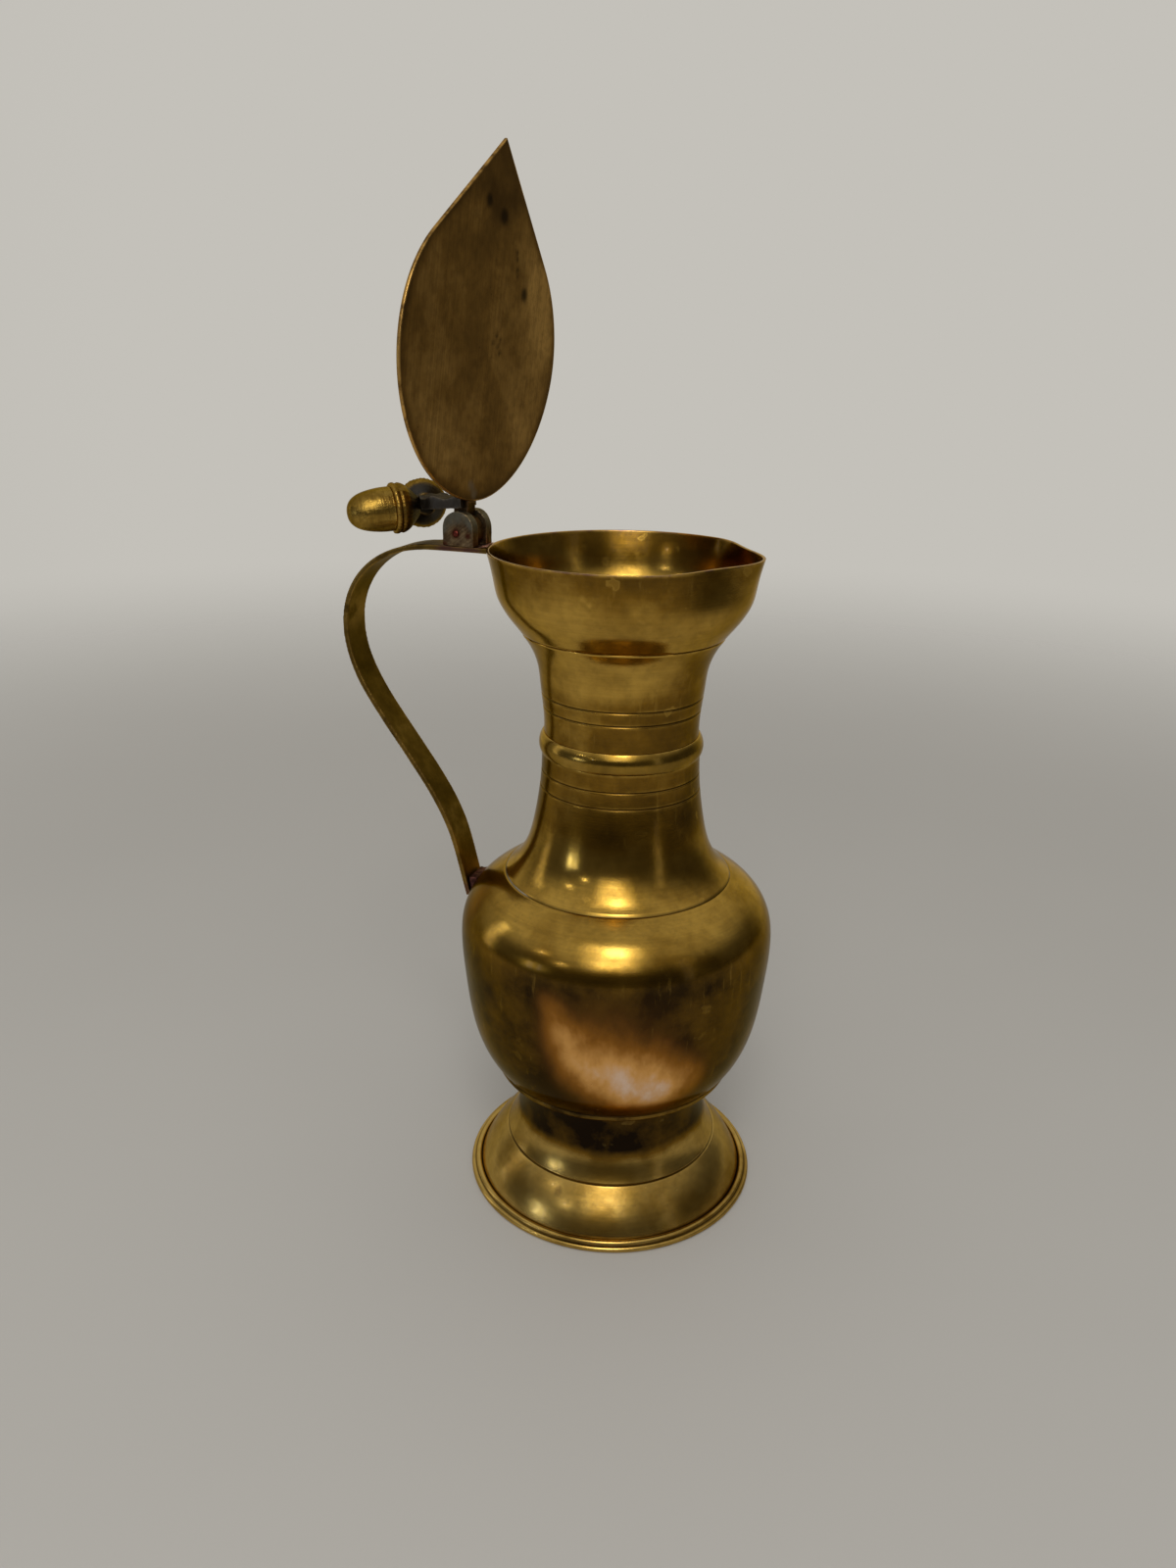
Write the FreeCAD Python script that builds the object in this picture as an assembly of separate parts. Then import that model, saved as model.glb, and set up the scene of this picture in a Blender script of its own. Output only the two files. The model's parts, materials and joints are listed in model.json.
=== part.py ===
import FreeCAD, Part
import math
import os
from FreeCAD import Vector

# Lidded brass pitcher. Millimetres, +Z up, origin on the table under the middle of the foot.
# The pouring point looks along +X, the handle along -X, and the lid stands open.

# Shared allowances
overrun = 2.0               # how far a cutting tool passes the face that it cuts
swing_gap = 0.3             # free space between the lid's pieces and what stays still
sleeve_fit = 0.02           # radial play of a turned joint before brazing
pin_fit = 0.03              # radial play of the hinge pin in the ears and the knuckle
groove_width = 0.9          # incised ring lines
groove_depth = 0.4
search_share = 1e-9         # a curve is searched down to this share of its length

# Foot
foot_radius = 57.0          # over the lower bead
foot_height = 50.0
foot_wall = 1.7
foot_seat_width = 2.0       # flat ring that rests on the table
rim_bead_radius = 1.15      # lower bead, on the table
bead_step = 1.7             # how far the second bead stands in from the first
step_bead_rise = 1.35       # crown of the second bead, above the first
skirt_inset = 4.1           # where the skirt leaves the beads, in from the foot's edge
skirt_rise = 0.45           # and above the first bead
skirt_bow = 0.7             # how far the skirt stands proud of a straight cone
foot_line_flare = 5.4       # incised line round the skirt, out from the waist
foot_line_height = 18.6
waist_radius = 36.4
waist_drop = 12.0           # waist, below the foot's top
foot_top_flare = 2.6        # foot's top edge, out from the waist
foot_top_land = 3.4         # width of the brazed face under the belly

# Belly
belly_height = 81.2
belly_wall = 1.6
belly_floor = 2.0
lip_overhang = 7.2          # turned band round the belly's foot, out from the foot's top
lip_height = 2.8
lip_round = 1.6
lip_step = 0.7              # how far the belly's curve starts outside the band
belly_radius = 58.9
belly_widest_drop = 24.2    # widest place, below the shoulder seam
shoulder_radius = 42.6
seam_land = 2.6             # width of the brazed face at the shoulder seam
# Height share and radius share, from the band to the widest place
lower_belly_shares = ((0.07, 0.21), (0.22, 0.525), (0.45, 0.775), (0.72, 0.92))
# Height share and drop share, from the widest place to the shoulder seam
upper_belly_shares = ((0.29, 0.05), (0.52, 0.19), (0.75, 0.47))

# Neck and collar
lower_neck_length = 47.2    # shoulder seam to the collar
upper_neck_length = 36.3    # collar to the cup line
neck_wall = 1.5
neck_radius = 28.0          # above the collar
neck_taper = 0.7            # how much wider the neck is below the collar
collar_length = 7.3
collar_proud = 1.1          # collar's crown, out from the lower neck
collar_step = 0.3           # how far the collar's edges stand proud of the neck
spigot_step = 0.6           # both necks run into the collar as thin spigots
spigot_wall = 1.0
spigot_gap = 0.2
cup_line_radius = 36.0      # sharp line between the neck and the mouth cup
cup_land = 2.2              # width of the brazed face at the cup line
# Places of the incised lines, up each neck
lower_neck_line_shares = (0.737, 0.854)
upper_neck_line_shares = (0.264, 0.405)
# Height share and drop share, from the shoulder seam to the collar
lower_neck_shares = ((0.07, 0.26), (0.155, 0.475), (0.25, 0.63), (0.40, 0.773), (0.61, 0.90), (0.82, 0.98))
# Height share and growth share, from the collar to the cup line
upper_neck_shares = ((0.12, 0.0), (0.285, 0.063), (0.505, 0.175), (0.67, 0.275), (0.81, 0.48), (0.905, 0.705))

# Mouth cup
rim_radius = 48.0
cup_height = 28.0           # cup line to the rim
cup_wall = 1.5
rim_wall = 1.0
spout_pinch = 4.3           # how far the rim is drawn in on each side of the pouring point
spout_half_angle_deg = 64.0
spout_start_share = 0.2     # height share of the cup where the pinch begins
section_points = 48         # round each level outline of the cup
section_levels = 14         # up the cup
# Height share and growth share, from the cup line to the rim
cup_shares = ((0.107, 0.20), (0.214, 0.396), (0.32, 0.556), (0.446, 0.70), (0.607, 0.79), (0.786, 0.871))

# Handle strap
strap_width = 13.5
strap_thickness = 2.0
strap_drop = 2.8            # middle of the strap's level run, below the rim
strap_level_run = 9.8       # level run behind the hinge pin
strap_foot_drop = 18.7      # middle of the strap's lower end, below the shoulder seam
strap_seat = 0.4            # and out from the belly, which the end is filed to fit
strap_bow = 48.4            # farthest reach, out from the lower end
# Reach share and height share of the strap's bends, from the level run down
strap_shares = ((0.591, 0.977), (0.863, 0.905), (0.989, 0.80), (0.938, 0.657),
                (0.726, 0.522), (0.430, 0.373), (0.152, 0.20), (0.070, 0.10))

# Hinge
hinge_standoff = 12.2       # pin axis, out from the rim
pin_rise = 4.4              # pin axis, above the strap
hinge_skew_deg = 6.0        # the pin is not quite square to the handle
open_angle_deg = 86.0       # lid's travel from shut to the open stop
pin_radius = 1.15
pin_proud = 0.25            # riveted end
ear_radius = 6.2
ear_middle_forward = 0.9    # ear's round top, from the pin
ear_middle_rise = 1.6
knuckle_width = 5.4
knuckle_sink = 1.8          # how far the knuckle dips into the strap's slot
knuckle_side_gap = 0.2
leaf_back = 3.5             # leaf's outer face, from the pin
leaf_tail_length = 9.0      # tail brazed along the lid's outer face
leaf_tail_thickness = 2.4

# Lid
lid_thickness = 1.3
lid_gap = 0.3               # under the shut lid, over the rim
lid_near_overhang = 5.75    # past the rim, on the side that shows when the handle is on the left
lid_far_overhang = 3.0
lid_far_trim = 1.2          # how far the far side is cut in towards the back
lid_back_overhang = 1.3
lid_tip_overhang = 18.5
lid_round_inset = 1.4       # front round that the straight sides touch, in from the rim
# Turn shares of the outline's points, from the back to a side, and from a side to the straight run
lid_back_shares = (0.0, 0.33, 0.67, 1.0)
lid_front_shares = (0.5, 1.0)

# Thumbpiece
plate_thickness = 2.8
plate_half_width = 5.5
plate_droop_deg = 10.0
fork_height = 16.2          # where the two acorn axes meet, from the pin
fork_gap = 0.46             # how far the backs of the two acorns keep apart
acorn_spread_deg = 48.0     # each acorn, from the middle of the fork
cup_back_radius = 3.6
cup_length = 9.6
cup_lip = 1.25              # how far the acorn's cup stands out past its nut
cup_edge_round = 0.9
nut_radius = 7.8
nut_length = 15.8
shank_step = 1.8            # nut's shank, in from the nut's side
nut_shank_length = 3.4
nut_blunt_share = 0.78      # 1 makes the nut's dome half an ellipse, less makes it blunter
dome_points = 8             # along the nut's dome
# Length share and growth share of the acorn cup's swelling side
acorn_cup_shares = ((0.16, 0.28), (0.41, 0.68), (0.66, 0.93))

# Brazing
rim_braze_rise = 1.5
braze_inset = 1.0           # filler stops short of the strap's edges
shoulder_braze_rise = 7.5

# Turned pieces, worked out from the sizes above
skirt_radius = foot_radius - skirt_inset
foot_line_radius = waist_radius + foot_line_flare
waist_height = foot_height - waist_drop
foot_top_radius = waist_radius + foot_top_flare
lip_radius = foot_top_radius + lip_overhang
belly_foot_height = foot_height + lip_height
shoulder_height = foot_height + belly_height
belly_widest_height = shoulder_height - belly_widest_drop
neck_top_radius = neck_radius + neck_taper
collar_radius = neck_top_radius + collar_proud
collar_bottom_height = shoulder_height + lower_neck_length
collar_top_height = collar_bottom_height + collar_length
collar_middle_height = (collar_bottom_height + collar_top_height) / 2
spigot_radius = neck_radius - spigot_step
neck_bore_radius = spigot_radius - spigot_wall
cup_line_height = collar_top_height + upper_neck_length
rim_height = cup_line_height + cup_height

# Strap, hinge, lid and thumbpiece, worked out from the sizes above
strap_top_height = rim_height - strap_drop
strap_top = strap_top_height + strap_thickness / 2
hinge_reach = rim_radius + hinge_standoff
hinge_height = strap_top + pin_rise
knuckle_radius = pin_rise + knuckle_sink
ear_inner = knuckle_width / 2 + knuckle_side_gap
ear_outer = strap_width / 2
lid_underside = rim_height + lid_gap
leaf_front = hinge_height - lid_underside
lid_near_reach = rim_radius + lid_near_overhang
lid_far_reach = rim_radius + lid_far_overhang
lid_back_reach = rim_radius + lid_back_overhang
lid_front_reach = rim_radius - lid_round_inset
lid_tip_reach = rim_radius + lid_tip_overhang
plate_standoff = ear_radius + math.hypot(ear_middle_forward, ear_middle_rise) + 2 * swing_gap
acorn_spread = math.radians(acorn_spread_deg)
acorn_seat_distance = cup_back_radius / math.tan(acorn_spread) + fork_gap
cup_radius = nut_radius + cup_lip
nut_shank_radius = nut_radius - shank_step
hinge_point = Vector(-hinge_reach, 0, hinge_height)
hinge_skew = math.radians(hinge_skew_deg)
hinge_axis = Vector(math.sin(hinge_skew), math.cos(hinge_skew), 0)
up = Vector(0, 0, 1)
across = Vector(0, 1, 0)


def profile_point(radius, height):
    """A point of a turned outline, in the XZ plane."""
    return Vector(radius, 0, height)


def between(start, end, shares):
    """Points from start to end, each at its height share and radius share."""
    points = [start]
    for height_share, radius_share in shares:
        radius = start.x + radius_share * (end.x - start.x)
        height = start.z + height_share * (end.z - start.z)
        points.append(profile_point(radius, height))
    points.append(end)
    return points


def smooth(points):
    """One smooth curve through the points."""
    curve = Part.BSplineCurve()
    curve.interpolate(points)
    return curve


def inset(points, wall, first, last):
    """The inner side of a wall: points moved inwards, square to the curve, between two given ends."""
    curve = smooth(points)
    inner = [first]
    for point in points[1:-1]:
        direction = curve.tangent(curve.parameter(point))[0]
        inner.append(profile_point(point.x - wall * direction.z, point.z + wall * direction.x))
    inner.append(last)
    return inner


def chain(points):
    """Straight edges from point to point."""
    return [Part.LineSegment(a, b).toShape() for a, b in zip(points, points[1:])]


def arc(start, middle, end):
    """A round edge through three points."""
    return Part.Arc(start, middle, end).toShape()


def turned(edges):
    """A solid turned about the pitcher's axis from a closed outline."""
    face = Part.Face(Part.Wire(edges))
    return face.revolve(Vector(0, 0, 0), up, 360)


def radius_at(curve, height):
    """Radius of a rising curve at a height."""
    low = curve.FirstParameter
    high = curve.LastParameter
    step = search_share * (high - low)
    while high - low > step:
        middle = (low + high) / 2
        if curve.value(middle).z < height:
            low = middle
        else:
            high = middle
    return curve.value(low).x


def ring_line(radius, height):
    """Cutter for an incised line round a turned piece."""
    corners = [profile_point(radius + groove_depth, height - groove_width),
               profile_point(radius - groove_depth, height),
               profile_point(radius + groove_depth, height + groove_width)]
    return turned(chain(corners + corners[:1]))


def joint_line(radius, height, side):
    """Cutter for the bevel that one piece, above (1) or below (-1), has along its joint with another."""
    outer = radius + groove_depth
    corners = [profile_point(outer, height + side * groove_width),
               profile_point(outer, height - side * groove_width),
               profile_point(outer - 4 * groove_depth, height - side * groove_width)]
    return turned(chain(corners + corners[:1]))


def belly_points():
    """The belly's outside, from the band up to the shoulder seam."""
    foot = profile_point(lip_radius + lip_step, belly_foot_height + lip_step)
    widest = profile_point(belly_radius, belly_widest_height)
    seam = profile_point(shoulder_radius, shoulder_height)
    return between(foot, widest, lower_belly_shares) + between(widest, seam, upper_belly_shares)[1:]


def cup_points():
    """The mouth cup's outside away from the pouring point, in even steps, with heights above the cup line."""
    line = profile_point(cup_line_radius, 0)
    outline = smooth(between(line, profile_point(rim_radius, cup_height), cup_shares))
    step = (outline.LastParameter - outline.FirstParameter) / section_levels
    return [outline.value(outline.FirstParameter + level * step) for level in range(section_levels + 1)]


def foot():
    """Hollow foot: a double bead, a skirt with one incised line, a waist and a seat for the belly."""
    bead_middle = foot_radius - rim_bead_radius
    bead_top = 2 * rim_bead_radius
    step_radius = foot_radius - bead_step
    skirt_height = bead_top + skirt_rise
    seat_inner = bead_middle - foot_seat_width
    seat = chain([profile_point(seat_inner, 0), profile_point(bead_middle, 0)])
    lower_bead = arc(profile_point(bead_middle, 0), profile_point(foot_radius, rim_bead_radius),
                     profile_point(bead_middle, bead_top))
    step = chain([profile_point(bead_middle, bead_top), profile_point(step_radius, bead_top)])
    upper_bead = arc(profile_point(step_radius, bead_top),
                     profile_point((step_radius + skirt_radius) / 2, bead_top + step_bead_rise),
                     profile_point(skirt_radius, skirt_height))
    line = profile_point(foot_line_radius, foot_line_height)
    bow = profile_point((skirt_radius + foot_line_radius) / 2 + skirt_bow,
                        (skirt_height + foot_line_height) / 2 + skirt_bow)
    skirt = arc(profile_point(skirt_radius, skirt_height), bow, line)
    top = profile_point(foot_top_radius, foot_height)
    waist = arc(line, profile_point(waist_radius, waist_height), top)
    seat_top = profile_point(foot_top_radius - foot_top_land, foot_height)
    inner_line = profile_point(line.x - foot_wall, line.z - foot_wall)
    inner_bow = profile_point(bow.x - foot_wall, bow.z - foot_wall)
    inner_waist = arc(inner_line, profile_point(waist_radius - foot_wall, waist_height), seat_top)
    inner_skirt = arc(profile_point(seat_inner, 0), inner_bow, inner_line)
    edges = seat + [lower_bead] + step + [upper_bead, skirt, waist]
    edges += chain([top, seat_top]) + [inner_waist, inner_skirt]
    return turned(edges).cut(ring_line(foot_line_radius, foot_line_height))


def belly():
    """Closed-bottomed belly with a turned band where it sits on the foot."""
    points = belly_points()
    floor = foot_height + belly_floor
    inner_seam = profile_point(shoulder_radius - seam_land, shoulder_height)
    inner_foot = profile_point(lip_radius - belly_wall, belly_foot_height)
    inner = inset(points, belly_wall, inner_foot, inner_seam)
    edges = chain([profile_point(0, floor), profile_point(0, foot_height),
                   profile_point(lip_radius - lip_round, foot_height)])
    turn = lip_round * (1 - math.sqrt(0.5))
    edges.append(arc(profile_point(lip_radius - lip_round, foot_height),
                     profile_point(lip_radius - turn, foot_height + turn),
                     profile_point(lip_radius, foot_height + lip_round)))
    edges += chain([profile_point(lip_radius, foot_height + lip_round),
                    profile_point(lip_radius, belly_foot_height), points[0]])
    edges.append(smooth(points).toShape())
    edges += chain([points[-1], inner_seam])
    edges.append(smooth(inner).toShape())
    edges += chain([inner_foot, profile_point(lip_radius - belly_wall - lip_round, floor),
                    profile_point(0, floor)])
    return turned(edges).cut(ring_line(lip_radius + lip_step / 2, belly_foot_height + lip_step / 2))


def belly_outside():
    """The belly filled solid, as the tool that seats other pieces on it."""
    points = belly_points()
    edges = [smooth(points).toShape()]
    edges += chain([points[-1], profile_point(0, points[-1].z), profile_point(0, points[0].z), points[0]])
    return turned(edges)


def lower_neck():
    """Flared lower neck with two incised lines and a spigot for the collar."""
    seam = profile_point(shoulder_radius, shoulder_height)
    top = profile_point(neck_top_radius, collar_bottom_height)
    points = between(seam, top, lower_neck_shares)
    inner_seam = profile_point(shoulder_radius - seam_land, shoulder_height)
    bore = profile_point(neck_bore_radius, collar_bottom_height)
    spigot_top = collar_middle_height - spigot_gap / 2
    outside = smooth(points)
    edges = [outside.toShape()]
    edges += chain([top, profile_point(spigot_radius, collar_bottom_height),
                    profile_point(spigot_radius, spigot_top),
                    profile_point(neck_bore_radius, spigot_top), bore])
    edges.append(smooth(inset(points, neck_wall, inner_seam, bore)).toShape())
    edges += chain([inner_seam, seam])
    solid = turned(edges)
    for share in lower_neck_line_shares:
        height = shoulder_height + share * lower_neck_length
        solid = solid.cut(ring_line(radius_at(outside, height), height))
    return solid.cut(joint_line(shoulder_radius, shoulder_height, 1))


def collar():
    """Half-round collar sleeved over the joint of the two necks."""
    bore = spigot_radius + sleeve_fit
    bottom = profile_point(neck_top_radius + collar_step, collar_bottom_height)
    top = profile_point(neck_radius + collar_step, collar_top_height)
    edges = chain([top, profile_point(bore, collar_top_height),
                   profile_point(bore, collar_bottom_height), bottom])
    edges.append(arc(bottom, profile_point(collar_radius, collar_middle_height), top))
    return turned(edges)


def upper_neck():
    """Upper neck that flares to the cup line, with two incised lines and a spigot for the collar."""
    bottom = profile_point(neck_radius, collar_top_height)
    line = profile_point(cup_line_radius, cup_line_height)
    points = between(bottom, line, upper_neck_shares)
    bore = profile_point(neck_bore_radius, collar_top_height)
    inner_line = profile_point(cup_line_radius - cup_land, cup_line_height)
    spigot_bottom = collar_middle_height + spigot_gap / 2
    outside = smooth(points)
    edges = [outside.toShape()]
    edges += chain([line, inner_line])
    edges.append(smooth(inset(points, neck_wall, bore, inner_line)).toShape())
    edges += chain([bore, profile_point(neck_bore_radius, spigot_bottom),
                    profile_point(spigot_radius, spigot_bottom),
                    profile_point(spigot_radius, collar_top_height), bottom])
    solid = turned(edges)
    for share in upper_neck_line_shares:
        height = collar_top_height + share * upper_neck_length
        solid = solid.cut(ring_line(radius_at(outside, height), height))
    return solid.cut(joint_line(cup_line_radius, cup_line_height, -1))


def pinch(angle, height_share):
    """How far the cup is drawn in at an angle from the pouring point, at a height share of the cup."""
    half_angle = math.radians(spout_half_angle_deg)
    turn = min(abs(angle) / half_angle, 1)
    rise = max(0, (height_share - spout_start_share) / (1 - spout_start_share))
    return spout_pinch * rise * math.sqrt(rise) * math.sin(math.pi * turn) ** 2


def cup_section(radius, height, height_share):
    """One level outline of the mouth cup."""
    points = []
    for index in range(section_points):
        angle = 2 * math.pi * index / section_points
        from_spout = math.remainder(angle, 2 * math.pi)
        reach = radius - pinch(from_spout, height_share)
        points.append(Vector(reach * math.cos(angle), reach * math.sin(angle), height))
    curve = Part.BSplineCurve()
    curve.interpolate(points, True)
    return Part.Wire([curve.toShape()])


def raised(shape):
    """A piece of the mouth cup, made with its foot at height zero, set on the cup line."""
    shape.translate(Vector(0, 0, cup_line_height))
    return shape


def filled_cup():
    """The mouth cup filled solid, before it is set on the cup line."""
    sections = [cup_section(point.x, point.z, point.z / cup_height) for point in cup_points()]
    return Part.makeLoft(sections, True)


def cup_outside():
    """The mouth cup filled solid, in its place, as the tool that seats other pieces on it."""
    return raised(filled_cup())


def cup_inside():
    """The mouth cup's hollow, run past the rim and the cup line, before it is set on that line."""
    points = cup_points()
    curve = smooth(points)
    sections = []
    for point in points:
        share = point.z / cup_height
        wall = cup_wall + share * (rim_wall - cup_wall)
        rise = curve.tangent(curve.parameter(point))[0].z
        inner = point.x - wall / rise
        if point is points[0]:
            inner = cup_line_radius - cup_land
            slope = curve.tangent(curve.FirstParameter)[0]
            below = inner - overrun * slope.x / slope.z
            sections.append(cup_section(below, point.z - overrun, share))
        sections.append(cup_section(inner, point.z, share))
    slope = curve.tangent(curve.LastParameter)[0]
    sections.append(cup_section(inner + overrun * slope.x / slope.z, cup_height + overrun, 1))
    return Part.makeLoft(sections, True)


def mouth_cup():
    """Thin-walled mouth cup, pinched to a pouring point."""
    cup = filled_cup().cut(cup_inside())
    return raised(largest(cup.cut(joint_line(cup_line_radius, 0, 1))))


def strap_foot():
    """Middle of the strap's lower end, on the belly."""
    height = shoulder_height - strap_foot_drop
    return profile_point(-radius_at(smooth(belly_points()), height) - strap_seat, height)


def strap_side(offset):
    """One long edge of the strap's side view, a given distance from its middle line towards the pitcher."""
    foot_point = strap_foot()
    span = strap_top_height - foot_point.z
    middle = [profile_point(-hinge_reach - strap_level_run, strap_top_height)]
    for reach_share, height_share in strap_shares:
        reach = foot_point.x - strap_bow * reach_share
        middle.append(profile_point(reach, foot_point.z + span * height_share))
    middle.append(foot_point)
    curve = Part.BSplineCurve()
    last_run = middle[-1] - middle[-2]
    curve.interpolate(Points=middle, InitialTangent=Vector(-1, 0, 0), FinalTangent=last_run.normalize())
    points = []
    tangents = []
    for point in middle:
        direction = curve.tangent(curve.parameter(point))[0]
        points.append(profile_point(point.x - offset * direction.z, point.z + offset * direction.x))
        tangents.append(direction)
    edge = Part.BSplineCurve()
    edge.interpolate(Points=points, InitialTangent=tangents[0], FinalTangent=tangents[-1])
    return edge


def plain_strap():
    """The bent strap before it is fitted to the pitcher and slotted."""
    half = strap_thickness / 2
    outer = strap_side(-half)
    inner = strap_side(half)
    outer_start = outer.value(outer.FirstParameter)
    inner_start = inner.value(inner.FirstParameter)
    rim_end = -cup_line_radius
    edges = [outer.toShape(), inner.toShape()]
    edges += chain([outer.value(outer.LastParameter), inner.value(inner.LastParameter)])
    edges += chain([inner_start, profile_point(rim_end, inner_start.z),
                    profile_point(rim_end, outer_start.z), outer_start])
    wire = Part.Wire(Part.__sortEdges__(edges))
    face = Part.Face(wire)
    face.translate(Vector(0, -strap_width / 2, 0))
    return face.extrude(Vector(0, strap_width, 0))


def largest(shape):
    """The largest solid of a cut."""
    return max(shape.Solids, key=lambda solid: solid.Volume)


def skewed(shape):
    """A hinge piece turned about the upright through the pin's middle, as the hinge was set on the strap."""
    shape.rotate(hinge_point, up, -hinge_skew_deg)
    return shape


def opened(shape):
    """A piece of the shut lid swung to the open stop."""
    shape.rotate(hinge_point, hinge_axis, -open_angle_deg)
    return shape


def crosswise_cylinder(radius, start, end):
    """A round bar along the pin, from one distance across to another."""
    base = Vector(-hinge_reach, start, hinge_height)
    return Part.makeCylinder(radius, end - start, base, across)


def hinge_box(back, front, half_width, bottom, top):
    """A block beside the pin: distances from the pin, forwards and upwards."""
    corner = Vector(-hinge_reach + back, -half_width, hinge_height + bottom)
    return Part.makeBox(front - back, 2 * half_width, top - bottom, corner)


def handle_strap():
    """Strap seated on the cup and the belly, slotted for the knuckle."""
    strap = largest(plain_strap().cut(cup_outside()))
    strap = largest(strap.cut(belly_outside()))
    slot_half_length = math.sqrt(knuckle_radius ** 2 - pin_rise ** 2) + 2 * swing_gap
    slot = hinge_box(-slot_half_length, slot_half_length, ear_inner,
                     -pin_rise - strap_thickness - overrun, -pin_rise + overrun)
    return strap.cut(skewed(slot))


def hinge_ear(side):
    """Round-topped ear on the strap, with the pin's hole."""
    bottom = strap_top
    middle = Vector(-hinge_reach + ear_middle_forward, 0, hinge_height + ear_middle_rise)
    back = profile_point(middle.x - ear_radius, middle.z)
    front = profile_point(middle.x + ear_radius, middle.z)
    crown = profile_point(middle.x, middle.z + ear_radius)
    edges = [arc(back, crown, front)]
    edges += chain([front, profile_point(front.x, bottom), profile_point(back.x, bottom), back])
    face = Part.Face(Part.Wire(edges))
    near = min(side * ear_inner, side * ear_outer)
    face.translate(Vector(0, near, 0))
    ear = face.extrude(Vector(0, ear_outer - ear_inner, 0))
    hole = crosswise_cylinder(pin_radius + pin_fit, -ear_outer - overrun, ear_outer + overrun)
    return skewed(ear.cut(hole))


def hinge_pin():
    """Pin through both ears and the knuckle."""
    end = ear_outer + pin_proud
    return skewed(crosswise_cylinder(pin_radius, -end, end))


def rim_braze():
    """Run of filler between the ears, the strap and the cup."""
    half_width = strap_width / 2 - braze_inset
    back = -hinge_reach + ear_middle_forward + ear_radius + swing_gap
    corners = [profile_point(back, strap_top), profile_point(-cup_line_radius, strap_top),
               profile_point(-cup_line_radius, strap_top + rim_braze_rise),
               profile_point(-rim_radius, strap_top + rim_braze_rise)]
    face = Part.Face(Part.Wire(chain(corners + corners[:1])))
    face.translate(Vector(0, -half_width, 0))
    filler = face.extrude(Vector(0, 2 * half_width, 0)).cut(cup_outside())
    ears = hinge_ear(1).fuse(hinge_ear(-1))
    return min(filler.cut(ears).Solids, key=lambda solid: solid.CenterOfMass.x)


def shoulder_braze():
    """Fillet of filler in the wedge between the strap's lower end and the belly."""
    half_width = strap_width / 2 - braze_inset
    foot_point = strap_foot()
    corner = Vector(foot_point.x, -half_width, foot_point.z)
    block = Part.makeBox(-foot_point.x, 2 * half_width, shoulder_braze_rise, corner)
    return largest(block.cut(belly_outside()).cut(plain_strap()))


def lid_point(reach, offset):
    """A point of the shut lid's underside."""
    return Vector(reach, offset, lid_underside)


def lid_side(side, half_width, trim):
    """One side of the lid's outline: a smooth curve from the middle of the back, then straight to the tip."""
    points = []
    for share in lid_back_shares:
        turn = share * math.pi / 2
        pull = trim * math.sin(2 * turn)
        points.append(lid_point(-(lid_back_reach - pull) * math.cos(turn),
                                side * (half_width - pull) * math.sin(turn)))
    for share in lid_front_shares:
        turn = share * math.asin(lid_front_reach / lid_tip_reach)
        points.append(lid_point(lid_front_reach * math.sin(turn), side * half_width * math.cos(turn)))
    tip = lid_point(lid_tip_reach, 0)
    straight = tip - points[-1]
    curve = Part.BSplineCurve()
    curve.interpolate(Points=points, InitialTangent=Vector(0, side, 0), FinalTangent=straight.normalize())
    return [curve.toShape()] + chain([points[-1], tip])


def shut_lid_plate():
    """Flat leaf-shaped lid as it lies shut, cut by hand with its two sides unlike."""
    edges = lid_side(-1, lid_near_reach, 0) + lid_side(1, lid_far_reach, lid_far_trim)
    face = Part.Face(Part.Wire(Part.__sortEdges__(edges)))
    return face.extrude(Vector(0, 0, lid_thickness))


def shut_knuckle():
    """Knuckle round the pin with a leaf to the lid and a tail along the lid's outer face."""
    half_width = knuckle_width / 2
    reach = hinge_reach - lid_back_reach
    barrel = crosswise_cylinder(knuckle_radius, -half_width, half_width)
    leaf = hinge_box(0, reach + lid_thickness, half_width, -leaf_front, leaf_back)
    lid_top = lid_thickness - leaf_front
    tail = hinge_box(reach, reach + leaf_tail_length, half_width, lid_top, lid_top + leaf_tail_thickness)
    solid = barrel.fuse(leaf).fuse(tail).removeSplitter()
    hole = crosswise_cylinder(pin_radius + pin_fit, -half_width - overrun, half_width + overrun)
    return skewed(solid.cut(hole)).cut(shut_lid_plate())


def drooped(shape):
    """A thumbpiece part leaned back, away from the lid."""
    foot_of_plate = Vector(-hinge_reach + plate_standoff + plate_thickness / 2, 0, hinge_height)
    shape.rotate(foot_of_plate, across, -plate_droop_deg)
    return skewed(shape)


def shut_thumb_plate():
    """Upright plate whose roof-shaped end carries the two acorns."""
    along = Vector(0, math.sin(acorn_spread), math.cos(acorn_spread))
    sideways = Vector(0, math.cos(acorn_spread), -math.sin(acorn_spread))
    seat = Vector(0, 0, fork_height) + along * acorn_seat_distance
    eave = seat + sideways * cup_back_radius
    ridge = seat - sideways * cup_back_radius
    bottom = lid_thickness - leaf_front
    half_outline = [Vector(0, plate_half_width, bottom), eave, ridge]
    mirrored = [Vector(0, -point.y, point.z) for point in reversed(half_outline)]
    corners = half_outline + mirrored
    face = Part.Face(Part.Wire(chain(corners + corners[:1])))
    face.translate(Vector(-hinge_reach + plate_standoff, 0, hinge_height))
    plate = drooped(face.extrude(Vector(plate_thickness, 0, 0)))
    return largest(plate.cut(shut_knuckle()).cut(shut_lid_plate()))


def along_acorn(shape, side):
    """A piece turned about the Z axis, carried to its place on one side of the fork."""
    shape.rotate(Vector(0, 0, 0), Vector(1, 0, 0), -side * acorn_spread_deg)
    plate_middle = -hinge_reach + plate_standoff + plate_thickness / 2
    shape.translate(Vector(plate_middle, 0, hinge_height + fork_height))
    return drooped(shape)


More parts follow.
